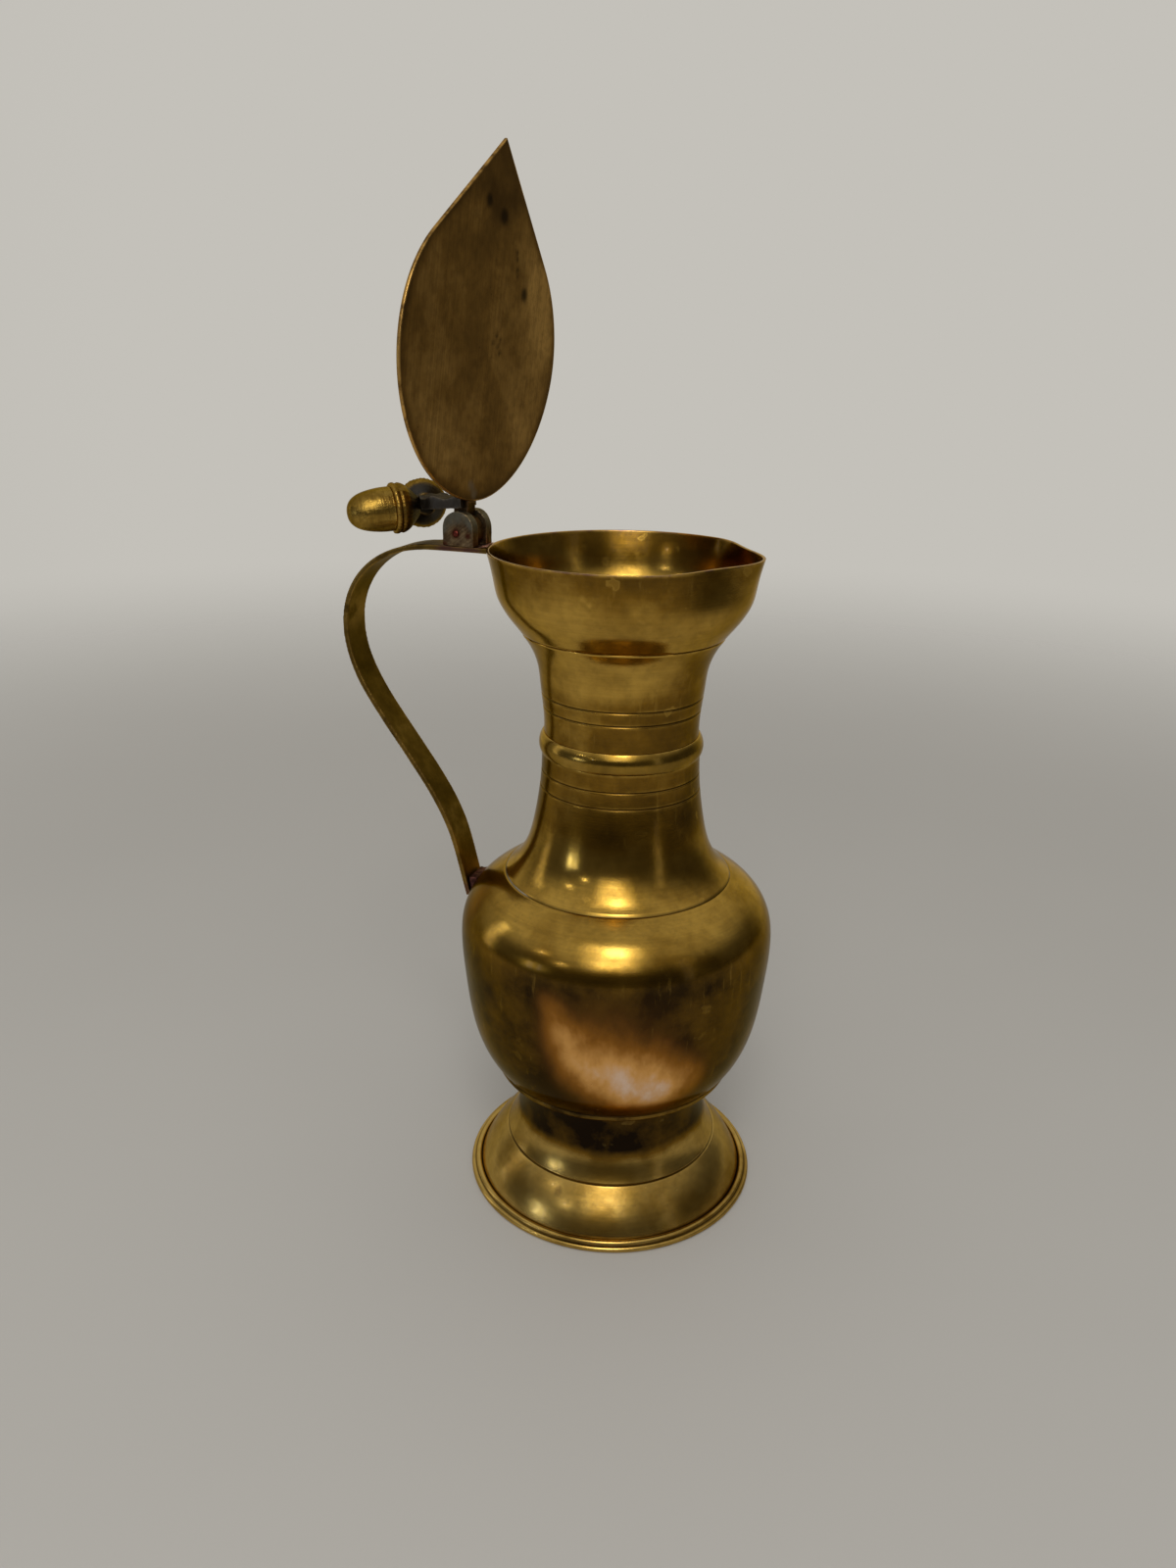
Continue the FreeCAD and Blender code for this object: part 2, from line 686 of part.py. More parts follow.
def shut_acorn_cup(side):
    """Swelling cup with a flat back on the fork and a socket for the nut."""
    back = profile_point(cup_back_radius, acorn_seat_distance)
    front = acorn_seat_distance + cup_length
    lip = profile_point(cup_radius, front - cup_edge_round)
    edge = profile_point(cup_radius - cup_edge_round, front)
    turn = cup_edge_round * (1 - math.sqrt(0.5))
    socket = nut_shank_radius + sleeve_fit
    socket_floor = front - nut_shank_length
    edges = chain([profile_point(0, socket_floor), profile_point(0, acorn_seat_distance), back])
    edges.append(smooth(between(back, lip, acorn_cup_shares)).toShape())
    edges.append(arc(lip, profile_point(cup_radius - turn, front - turn), edge))
    edges += chain([edge, profile_point(socket, front), profile_point(socket, socket_floor),
                    profile_point(0, socket_floor)])
    return along_acorn(turned(edges), side)


def shut_acorn_nut(side):
    """Blunt domed nut with a shank in the cup's socket."""
    front = acorn_seat_distance + cup_length
    tip = profile_point(0, front + nut_length)
    brow = profile_point(nut_radius, front)
    points = [brow]
    for index in range(1, dome_points):
        turn = index / dome_points * math.pi / 2
        points.append(profile_point(nut_radius * math.cos(turn) ** nut_blunt_share,
                                    front + nut_length * math.sin(turn) ** nut_blunt_share))
    points.append(tip)
    dome = Part.BSplineCurve()
    dome.interpolate(Points=points, InitialTangent=up, FinalTangent=Vector(-1, 0, 0))
    shank_end = front - nut_shank_length
    edges = [dome.toShape()]
    edges += chain([brow, profile_point(nut_shank_radius, front), profile_point(nut_shank_radius, shank_end),
                    profile_point(0, shank_end), tip])
    return along_acorn(turned(edges), side)


def build():
    """Every piece by its name."""
    return {
        "foot": foot(),
        "belly": belly(),
        "lower_neck": lower_neck(),
        "collar": collar(),
        "upper_neck": upper_neck(),
        "mouth_cup": mouth_cup(),
        "handle_strap": handle_strap(),
        "front_hinge_ear": hinge_ear(-1),
        "rear_hinge_ear": hinge_ear(1),
        "hinge_pin": hinge_pin(),
        "rim_braze": rim_braze(),
        "shoulder_braze": shoulder_braze(),
        "lid_plate": opened(shut_lid_plate()),
        "lid_knuckle": opened(shut_knuckle()),
        "thumb_plate": opened(shut_thumb_plate()),
        "front_acorn_cup": opened(shut_acorn_cup(-1)),
        "rear_acorn_cup": opened(shut_acorn_cup(1)),
        "front_acorn_nut": opened(shut_acorn_nut(-1)),
        "rear_acorn_nut": opened(shut_acorn_nut(1)),
    }


def main():
    """Write each piece to its own file."""
    os.makedirs("parts", exist_ok=True)
    for name, shape in build().items():
        shape.exportStep(os.path.join("parts", name + ".step"))
        print(name, shape.isValid(), len(shape.Solids), round(shape.Volume, 1))


main()
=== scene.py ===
"""Looks of a lidded brass pitcher, built round its CAD frame.

The turned shells are spun again as fine meshes from their outlines. The lid is drawn again as a sheet
with soft edges. The strap, the hinge and the brazing are worn copies of their solids. Sizes are in
millimetres until a mesh is made, which is in metres.
"""

import json
import logging
import math
from dataclasses import dataclass, field, replace
from enum import Enum
from typing import Callable, Optional, Sequence

import bmesh
import bpy
import numpy as np
from mathutils import Matrix, Vector, noise


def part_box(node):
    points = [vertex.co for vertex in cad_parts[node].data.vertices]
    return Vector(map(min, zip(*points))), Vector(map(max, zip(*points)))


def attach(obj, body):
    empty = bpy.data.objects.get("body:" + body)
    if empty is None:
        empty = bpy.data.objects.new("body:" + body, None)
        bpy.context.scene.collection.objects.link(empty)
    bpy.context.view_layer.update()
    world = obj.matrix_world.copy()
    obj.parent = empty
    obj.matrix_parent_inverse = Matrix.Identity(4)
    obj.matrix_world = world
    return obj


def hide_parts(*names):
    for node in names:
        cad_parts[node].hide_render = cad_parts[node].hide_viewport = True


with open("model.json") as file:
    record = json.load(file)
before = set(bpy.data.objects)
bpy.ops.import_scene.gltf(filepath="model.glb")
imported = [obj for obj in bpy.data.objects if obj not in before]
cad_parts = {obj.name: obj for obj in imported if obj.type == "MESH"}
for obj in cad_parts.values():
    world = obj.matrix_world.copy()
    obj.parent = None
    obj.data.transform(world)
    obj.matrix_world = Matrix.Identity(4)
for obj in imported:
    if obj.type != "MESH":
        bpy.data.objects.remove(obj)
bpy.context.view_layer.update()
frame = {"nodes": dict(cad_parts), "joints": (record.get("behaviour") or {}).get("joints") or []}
JOINT = frame["joints"][0]

LOG = logging.getLogger("pitcher")
MM = 0.001
TINY = 1e-6
FULL_TURN = 2 * math.pi
SMOOTH = {"interpolation_type": "SMOOTHSTEP"}
# Tarnish of a piece before its own marks, and how far an edge may bend before it is shaded as sharp
MIDDLE_AGE = 0.45
CREASE_DEG = 50.0
# Worn copies: how strongly a bend shows as wear or dirt, how often it is averaged, how far each round eases
# the corners, and how far the lumps sink under the solid's face
BEND_GAIN = 6.0
BEND_ROUNDS = 3
EASE_FACTOR = 0.5
LUMP_SINK = 0.6

Socket = bpy.types.NodeSocket
Piece = bpy.types.Object
Place = tuple[float, float]
Pull = Callable[[np.ndarray, np.ndarray], np.ndarray]


class Body(Enum):
    """The two bodies that the hinge joins."""

    VESSEL = "vessel"
    LID = "lid"


class Tool(Enum):
    """What last shaped a surface, which sets the lie of its fine marks."""

    LATHE = "rings round the axis"
    ROLLS = "streaks along the sheet"
    FILE = "straight strokes"
    HATCH = "rings crossed by lengthwise strokes"


class Mask(Enum):
    """What a vertex tells its finish, from 0 to 1."""

    WEAR = "wear"
    GRIME = "grime"
    TINT = "tint"
    # Tarnish, and on the turned pieces also painted shade and painted highlight, laid by height and facing
    AGE = "age"


def linear(colour: str) -> tuple[float, float, float, float]:
    """Turn an sRGB hex colour into linear light.

    Args:
        colour: a colour such as "#AE9153".

    Returns:
        Red, green, blue and an alpha of 1.
    """
    values = [int(colour[place:place + 2], 16) / 255 for place in (1, 3, 5)]
    light = [v / 12.92 if v <= 0.04045 else ((v + 0.055) / 1.055) ** 2.4 for v in values]
    return (light[0], light[1], light[2], 1.0)


def stand(name: str, data: bpy.types.ID) -> Piece:
    """Put a new object into the scene."""
    made = bpy.data.objects.new(name, data)
    bpy.context.scene.collection.objects.link(made)
    return made


def empty_tree(owner: "bpy.types.Material | bpy.types.World") -> bpy.types.NodeTree:
    """Give a material or a world an empty node tree."""
    owner.use_nodes = True
    owner.node_tree.nodes.clear()
    return owner.node_tree


def flowing(points: Sequence[Place], step: float, start: Optional[Place] = None,
            end: Optional[Place] = None) -> np.ndarray:
    """Sample one smooth curve through some points.

    Args:
        points: the points that the curve passes through.
        step: distance between samples.
        start: unit direction at the first point, or None for a free end.
        end: unit direction at the last point, or None for a free end.

    Returns:
        The samples, with both ends.
    """
    knots = np.asarray(points, float)
    gaps = np.linalg.norm(np.diff(knots, axis=0), axis=1)
    last = len(knots) - 1
    system = np.zeros((last + 1, last + 1))
    right = np.zeros_like(knots)
    rises = np.diff(knots, axis=0) / gaps[:, None]
    for index in range(1, last):
        before, after = gaps[index - 1], gaps[index]
        system[index, index - 1:index + 2] = after, 2 * (before + after), before
        right[index] = 3 * (after * rises[index - 1] + before * rises[index])
    system[0, :2] = (2, 1) if start is None else (1, 0)
    right[0] = 3 * rises[0] if start is None else start
    system[last, last - 1:] = (1, 2) if end is None else (0, 1)
    right[last] = 3 * rises[-1] if end is None else end
    slopes = np.linalg.solve(system, right)
    samples = []
    for index, gap in enumerate(gaps):
        count = max(2, round(gap / step))
        t = (np.arange(count) / count)[:, None]
        samples.append((1 + 2 * t) * (1 - t) ** 2 * knots[index] + t * (1 - t) ** 2 * gap * slopes[index]
                       + t * t * (3 - 2 * t) * knots[index + 1] + t * t * (t - 1) * gap * slopes[index + 1])
    return np.concatenate(samples + [knots[-1:]])


def round_run(start: Place, middle: Place, end: Place, step: float) -> np.ndarray:
    """Sample a circular arc through three points.

    Args:
        start: first point.
        middle: a point on the way.
        end: last point.
        step: distance between samples.

    Returns:
        The samples, with both ends.
    """
    a, b, c = (np.asarray(point, float) for point in (start, middle, end))
    system = 2 * np.array([b - a, c - a])
    centre = np.linalg.solve(system, [b @ b - a @ a, c @ c - a @ a])
    radius = np.linalg.norm(a - centre)
    angles = [math.atan2(*(point - centre)[::-1]) for point in (a, b, c)]
    sweep = (angles[2] - angles[0]) % FULL_TURN
    if (angles[1] - angles[0]) % FULL_TURN > sweep:
        sweep -= FULL_TURN
    count = max(4, round(abs(sweep) * radius / step))
    turn = angles[0] + sweep * np.arange(count + 1) / count
    return centre + radius * np.stack([np.cos(turn), np.sin(turn)], axis=1)


def run_lengths(points: np.ndarray) -> np.ndarray:
    """Distance of each sample from the first one, along their curve."""
    return np.concatenate([[0], np.cumsum(np.linalg.norm(np.diff(points, axis=0), axis=1))])


def headings(curve: np.ndarray) -> np.ndarray:
    """Unit direction of a sampled curve at each sample."""
    along = np.gradient(curve, axis=0)
    return along / np.linalg.norm(along, axis=1)[:, None]


def leftward(ways: np.ndarray) -> np.ndarray:
    """Each direction, turned left by a right angle."""
    return np.stack([-ways[:, 1], ways[:, 0]], axis=1)


def towards(start: Place, end: Place) -> Place:
    """Unit direction from one point to another."""
    run = np.subtract(end, start)
    return tuple(run / np.linalg.norm(run))


def wall_inside(curve: np.ndarray, wall: float) -> np.ndarray:
    """Move samples that run up the outside of a wall inwards, square to their curve."""
    return curve + wall * leftward(headings(curve))


def between(start: Place, end: Place, shares: Sequence[Place]) -> list[Place]:
    """Points of an outline with both ends, from height and radius shares of the way between them."""
    middle = [(start[0] + wide * (end[0] - start[0]), start[1] + high * (end[1] - start[1]))
              for high, wide in shares]
    return [start, *middle, end]


def eased(values: np.ndarray, low: float, high: float) -> np.ndarray:
    """Rise smoothly from 0 at the first value to 1 at the second, which may be the lower one."""
    share = np.clip((values - low) / (high - low), 0, 1)
    return share * share * (3 - 2 * share)


@dataclass(frozen=True)
class Patch:
    """A mark on a surface: its middle, its size, its strength and how firm its edge is."""

    along: float
    across: float
    size: float
    strength: float = 1.0
    firmness: float = 2.0


def cover(patches: Sequence[Patch], along: np.ndarray, across: np.ndarray,
          scale: "float | np.ndarray" = 1.0) -> np.ndarray:
    """How strongly some marks cover each place.

    Args:
        patches: the marks.
        along: first coordinate of each place.
        across: second coordinate of each place, in millimetres.
        scale: millimetres in one unit of the first coordinate.

    Returns:
        The share of each place that the marks cover together.
    """
    bare = np.ones(len(across))
    for patch in patches:
        away = np.hypot((along - patch.along) * scale, across - patch.across) / patch.size
        bare *= 1 - patch.strength * np.exp(-away ** patch.firmness)
    return 1 - bare


@dataclass
class Outline:
    """A turned piece's outline in radius and height, laid run by run."""

    step: float = 0.6
    ease: float = 0.22
    line_half_width: float = 0.45
    line_depth: float = 0.4
    line_flat: float = 0.9
    line_rows: tuple[float, ...] = (0.25, 0.6, 0.95, 1.15, 1.5, 2.2)
    straight: float = 0.93
    corner_share: float = 0.45
    runs: list[np.ndarray] = field(default_factory=list)
    points: np.ndarray = field(default_factory=lambda: np.zeros((0, 2)))
    spots: np.ndarray = field(default_factory=lambda: np.zeros(0))

    def line(self, *corners: Place) -> "Outline":
        """Add straight runs from corner to corner."""
        for a, b in zip(corners, corners[1:]):
            count = max(1, round(math.dist(a, b) / (2 * self.step)))
            self.runs.append(np.linspace(a, b, count + 1))
        return self

    def arc(self, start: Place, middle: Place, end: Place) -> "Outline":
        """Add a round run through three points."""
        self.runs.append(round_run(start, middle, end, self.step))
        return self

    def curve(self, samples: np.ndarray) -> "Outline":
        """Add a run that is already sampled."""
        self.runs.append(samples)
        return self

    def close(self, lines: Sequence[Place] = ()) -> "Outline":
        """Join the runs, cut the incised lines, ease the corners and measure the way along.

        Args:
            lines: a point on each incised line.

        Returns:
            The outline itself.
        """
        points = np.concatenate([run[:-1] for run in self.runs] + [self.runs[-1][-1:]])
        for place in lines:
            points = self._incised(points, np.asarray(place, float))
        self.points = self._eased(points)
        self.spots = run_lengths(self.points)
        return self

    def _incised(self, points: np.ndarray, place: np.ndarray) -> np.ndarray:
        """Cut one V-shaped line into sampled points.

        Args:
            points: the outline's samples.
            place: a point on the line.

        Returns:
            The samples with the line's own rows.
        """
        lengths = run_lengths(points)
        middle = lengths[np.argmin(np.linalg.norm(points - place, axis=1))]
        half = self.line_half_width
        side = half * np.array(self.line_rows)
        offsets = np.concatenate([-side[::-1], [0], side])
        rows = np.stack([np.interp(middle + offsets, lengths, points[:, axis]) for axis in (0, 1)], axis=1)
        along = rows[-1] - rows[0]
        along /= np.linalg.norm(along)
        depth = self.line_depth * np.clip(1 - np.abs(offsets) / half, 0, self.line_flat)
        rows += depth[:, None] * np.array([-along[1], along[0]]) * (-1 if along[1] < 0 else 1)
        before = lengths < middle + offsets[0]
        after = lengths > middle + offsets[-1]
        return np.concatenate([points[before], rows, points[after]])

    def _eased(self, points: np.ndarray) -> np.ndarray:
        """Round the sharp corners, as polishing does.

        Args:
            points: the outline's samples.

        Returns:
            The samples with each sharp corner replaced by a small round.
        """
        rounded = [points[:1]]
        steps = np.linspace(0, 1, 5)[:, None]
        for before, corner, after in zip(points, points[1:], points[2:]):
            back, on = before - corner, after - corner
            reach = min(np.linalg.norm(back), np.linalg.norm(on))
            straight = -(back @ on) / (np.linalg.norm(back) * np.linalg.norm(on))
            if straight > self.straight or corner[0] < self.ease:
                rounded.append(corner[None])
                continue
            cut = min(self.ease, self.corner_share * reach)
            a = corner + cut * back / np.linalg.norm(back)
            b = corner + cut * on / np.linalg.norm(on)
            rounded.append((1 - steps) ** 2 * a + 2 * steps * (1 - steps) * corner + steps ** 2 * b)
        rounded.append(points[-1:])
        return np.concatenate(rounded)

    def bends(self, reach: float = 0.5) -> np.ndarray:
        """How the outline bends near each point.

        Args:
            reach: how far a bend is felt along the outline.

        Returns:
            About 1 near a square outer corner, which wears, and -1 near an inner one, which holds dirt.
        """
        along = np.diff(self.points, axis=0)
        heading = np.unwrap(np.arctan2(along[:, 1], along[:, 0]))
        turns = np.zeros(len(self.points))
        turns[1:-1] = np.diff(heading) / (math.pi / 2)
        around = np.roll(self.points, -1, axis=0)
        area = np.sum(self.points[:, 0] * around[:, 1] - around[:, 0] * self.points[:, 1])
        weights = np.exp(-((self.spots[:, None] - self.spots[None]) / reach) ** 2)
        return math.copysign(1, area) * (weights @ turns)


@dataclass
class Sheet:
    """Vertices and faces of one piece, in metres, with the values that its finish reads."""

    vertices: np.ndarray
    faces: list[Sequence[int]]
    bench: np.ndarray
    masks: dict[Mask, np.ndarray]

    @property
    def height(self) -> np.ndarray:
        """Height of each vertex above the table."""
        return self.vertices[:, 2] / MM

    @property
    def radius(self) -> np.ndarray:
        """Distance of each vertex from the pitcher's axis."""
        return np.hypot(self.vertices[:, 0], self.vertices[:, 1]) / MM

    @property
    def turn_deg(self) -> np.ndarray:
        """Turn of each vertex from the pouring point."""
        return np.degrees(np.arctan2(self.vertices[:, 1], self.vertices[:, 0]))

    def marked(self, patches: Sequence[Patch]) -> np.ndarray:
        """Cover of marks that are placed by turn and height on a turned wall."""
        return cover(patches, self.turn_deg, self.height, np.radians(self.radius))

    def deepen(self, mask: Mask, values: np.ndarray) -> None:
        """Raise one mask to some values where it is lower."""
        self.masks[mask] = np.maximum(self.masks[mask], values)

    def piece(self, name: str, finish: "Finish") -> Piece:
        """Make the Blender object.

        Args:
            name: the piece's name.
            finish: its finish.

        Returns:
            The object, in the scene.
        """
        mesh = bpy.data.meshes.new(name)
        mesh.from_pydata(self.vertices.tolist(), [], self.faces)
        mesh.validate()
        form = bmesh.new()
        form.from_mesh(mesh)
        bmesh.ops.recalc_face_normals(form, faces=form.faces)
        form.to_mesh(mesh)
        form.free()
        mesh.shade_smooth()
        mesh.set_sharp_from_angle(angle=math.radians(CREASE_DEG))
        layer = mesh.attributes.new("bench", "FLOAT_VECTOR", "POINT")
        layer.data.foreach_set("vector", np.ascontiguousarray(self.bench, np.float32).ravel())
        for mask, values in self.masks.items():
            layer = mesh.attributes.new(mask.value, "FLOAT", "POINT")
            layer.data.foreach_set("value", np.clip(values, 0, 1).astype(np.float32))
        mesh.materials.append(finish.material())
        return stand(name, mesh)


def fresh_masks(bend: np.ndarray) -> dict[Mask, np.ndarray]:
    """Masks of a piece before its own marks: worn outer corners, dirty inner ones and an even tarnish."""
    return {Mask.WEAR: np.clip(bend, 0, 1), Mask.GRIME: np.clip(-bend, 0, 1),
            Mask.TINT: np.zeros(len(bend)), Mask.AGE: np.full(len(bend), MIDDLE_AGE)}


def moved(vertices: np.ndarray, place: Matrix) -> np.ndarray:
    """Vertices, carried along by a matrix."""
    turn = np.array(place)
    return vertices @ turn[:3, :3].T + turn[:3, 3]


def spin(outline: Outline, columns: int, pull: Optional[Pull] = None,
         place: Optional[Matrix] = None) -> Sheet:
    """Turn an outline about its axis.

    Args:
        outline: a closed outline. Ends on the axis become poles.
        columns: steps round the axis.
        pull: how far the wall is drawn in, from angle and height.
        place: where the piece's own axis lies, or None for the pitcher's axis.

    Returns:
        The piece's mesh, with no tint.
    """
    points = outline.points
    closed = np.allclose(points[0], points[-1])
    count = len(points) - 1 if closed else len(points)
    angles = FULL_TURN * np.arange(columns) / columns
    radius = np.repeat(points[:count, :1], columns, axis=1)
    height = np.repeat(points[:count, 1:], columns, axis=1)
    drawn = radius if pull is None else radius - pull(angles[None], height) * (radius > 1)
    spread = np.stack([drawn * np.cos(angles), drawn * np.sin(angles), height], axis=-1)
    spots = np.repeat(outline.spots[:count, None], columns, axis=1)
    bench = np.stack([spread[..., 0], spread[..., 1], spots], axis=-1)
    ids = np.arange(count * columns).reshape(count, columns)
    for row in np.flatnonzero(points[:count, 0] < TINY):
        ids[row] = ids[row, 0]
    below = ids if closed else ids[:-1]
    above = np.roll(ids, -1, axis=0) if closed else ids[1:]
    quads = np.stack([below, np.roll(below, -1, 1), np.roll(above, -1, 1), above], axis=-1).reshape(-1, 4)
    faces = [list(dict.fromkeys(quad)) for quad in quads.tolist()]
    used, renumbered = np.unique(np.concatenate(faces), return_inverse=True)
    ends = np.cumsum([len(face) for face in faces])[:-1]
    faces = [part.tolist() for part in np.split(renumbered, ends)]
    bend = np.repeat(outline.bends()[:count, None], columns, axis=1).ravel()[used]
    vertices = spread.reshape(-1, 3)[used] * MM
    if place is not None:
        vertices = moved(vertices, place)
    return Sheet(vertices, faces, bench.reshape(-1, 3)[used], fresh_masks(bend))


@dataclass(frozen=True)
class Wear:
    """How a solid is worn: size of its new faces, rounds of easing, and the lumps' depth and width."""

    voxel: float
    rounds: int
    lumps: float
    lump_size: float


def worn_copy(node: str, wear: Wear, bench: Optional[Matrix] = None) -> Sheet:
    """Copy a solid's surface as worn metal: fine, even faces, rounded corners and slight lumps.

    Args:
        node: the solid's name.
        wear: how it is worn.
        bench: where the piece's own axes lie, or None for the pitcher's.

    Returns:
        The piece's mesh, with no tint.
    """
    form = bmesh.new()
    form.from_mesh(frame["nodes"][node].data)
    bmesh.ops.remove_doubles(form, verts=form.verts, dist=TINY)
    mesh = bpy.data.meshes.new(node + "_copy")
    form.to_mesh(mesh)
    form.free()
    copy = stand(node + "_copy", mesh)
    remesh = copy.modifiers.new("remesh", "REMESH")
    remesh.mode = "VOXEL"
    remesh.voxel_size = wear.voxel * MM
    ease = copy.modifiers.new("ease", "SMOOTH")
    ease.factor = EASE_FACTOR
    ease.iterations = wear.rounds
    done = bpy.data.meshes.new_from_object(copy.evaluated_get(bpy.context.evaluated_depsgraph_get()))
    bpy.data.objects.remove(copy)
    lists = []
    for rows, name, width, kind in ((done.vertices, "co", 3, np.float32),
                                    (done.vertices, "normal", 3, np.float32),
                                    (done.edges, "vertices", 2, np.int32)):
        values = np.zeros(len(rows) * width, kind)
        rows.foreach_get(name, values)
        lists.append(values.reshape(-1, width))
    places, normals, ends = lists[0].astype(float), lists[1].astype(float), lists[2]
    shares = np.bincount(ends.ravel(), minlength=len(places))

    def neighbours(values: np.ndarray) -> np.ndarray:
        """Mean of each vertex's neighbours."""
        total = np.zeros_like(values)
        np.add.at(total, ends[:, 0], values[ends[:, 1]])
        np.add.at(total, ends[:, 1], values[ends[:, 0]])
        return total / (shares[:, None] if values.ndim > 1 else shares)

    bend = -np.sum((neighbours(places) - places) * normals, axis=1) / (wear.voxel * MM)
    for _ in range(BEND_ROUNDS):
        bend = (bend + neighbours(bend)) / 2
    uneven = np.array([noise.noise(Vector(place) / (wear.lump_size * MM)) for place in places])
    places += normals * (wear.lumps * MM * (uneven - LUMP_SINK))[:, None]
    own = places if bench is None else (places - np.array(bench.translation)) @ np.array(bench.to_3x3())
    faces = [list(face.vertices) for face in done.polygons]
    return Sheet(places, faces, own / MM, fresh_masks(BEND_GAIN * bend))


def fit(piece: Piece, body: Body, node: str) -> None:
    """Join a piece to its body and the solid that it stands for, and report it.

    Args:
        piece: the finished object.
        body: the body that it rides on.
        node: the solid that it replaces.
    """
    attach(piece, body.value)
    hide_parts(node)
    low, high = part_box(node)
    corners = np.array([vertex.co for vertex in piece.data.vertices])
    off = max(np.abs(corners.min(0) - low).max(), np.abs(corners.max(0) - high).max()) / MM
    LOG.info("%s: %d faces, box within %.2f mm of its solid", piece.name, len(piece.data.polygons), off)


def add_node(tree: bpy.types.NodeTree, kind: str, inputs: Optional[dict] = None, out: "str | int" = 0,
             **settings: object) -> Optional[Socket]:
    """Add one shader node with its settings and links.

    Args:
        tree: the tree that it goes in.
        kind: the node's type, without the words that all types share.
        inputs: for each input socket, a value or the socket that feeds it.
        out: which output is wanted.
        settings: the node's own properties.

    Returns:
        The output socket, or None where the node has no output.
    """
    node = tree.nodes.new("ShaderNode" + kind)
    for key, value in settings.items():
        setattr(node, key, value)
    for key, value in (inputs or {}).items():
        if isinstance(value, Socket):
            tree.links.new(value, node.inputs[key])
        else:
            node.inputs[key].default_value = value
    return node.outputs[out] if node.outputs else None


@dataclass(frozen=True)
class Finish:
    """Aged copper alloy: one metal, its tarnish, its tool marks and what lies on it.

    Colours are sRGB hex. Sizes are real millimetres on the piece. A share of 0 leaves a layer out. The edge
    is the colour that tarnish leaves where the metal is seen at a slant. A film is a colour with the values
    of the tint mask at which it starts and is full.
    """

    name: str
    bright: str
    body: str
    deep: str
    tool: Tool
    roughness: float
    edge: str = "#E2D2AC"
    films: tuple[tuple[str, float, float], ...] = ()
    film_rag: float = 5.0
    soot: str = "#1C150C"
    cloud_size: float = 34.0
    cloud_share: float = 0.5
    mottle_size: float = 4.0
    mottle_share: float = 0.15
    stroke_pitch: float = 0.8
    stroke_length: float = 28.0
    stroke_share: float = 0.1
    stroke_depth: float = 0.0025
    stroke_turn_deg: float = 0.0
    grain_size: float = 0.5
    grain_depth: float = 0.003
    spot_size: float = 7.0
    spot_share: float = 0.0
    drip_width: float = 2.4
    drip_length: float = 17.0
    drip_share: float = 0.0
    pit_size: float = 2.4
    pit_depth: float = 0.03
    pit_share: float = 0.2
    lump_depth: float = 0.006
    rough_change: float = 0.08
    anisotropy: float = 0.0
    lacquer: float = 0.0
    lacquer_roughness: float = 0.06

    def material(self) -> bpy.types.Material:
        """The material, made on first use."""
        ready = bpy.data.materials.get(self.name)
        return ready if ready else Brush(self).paint()


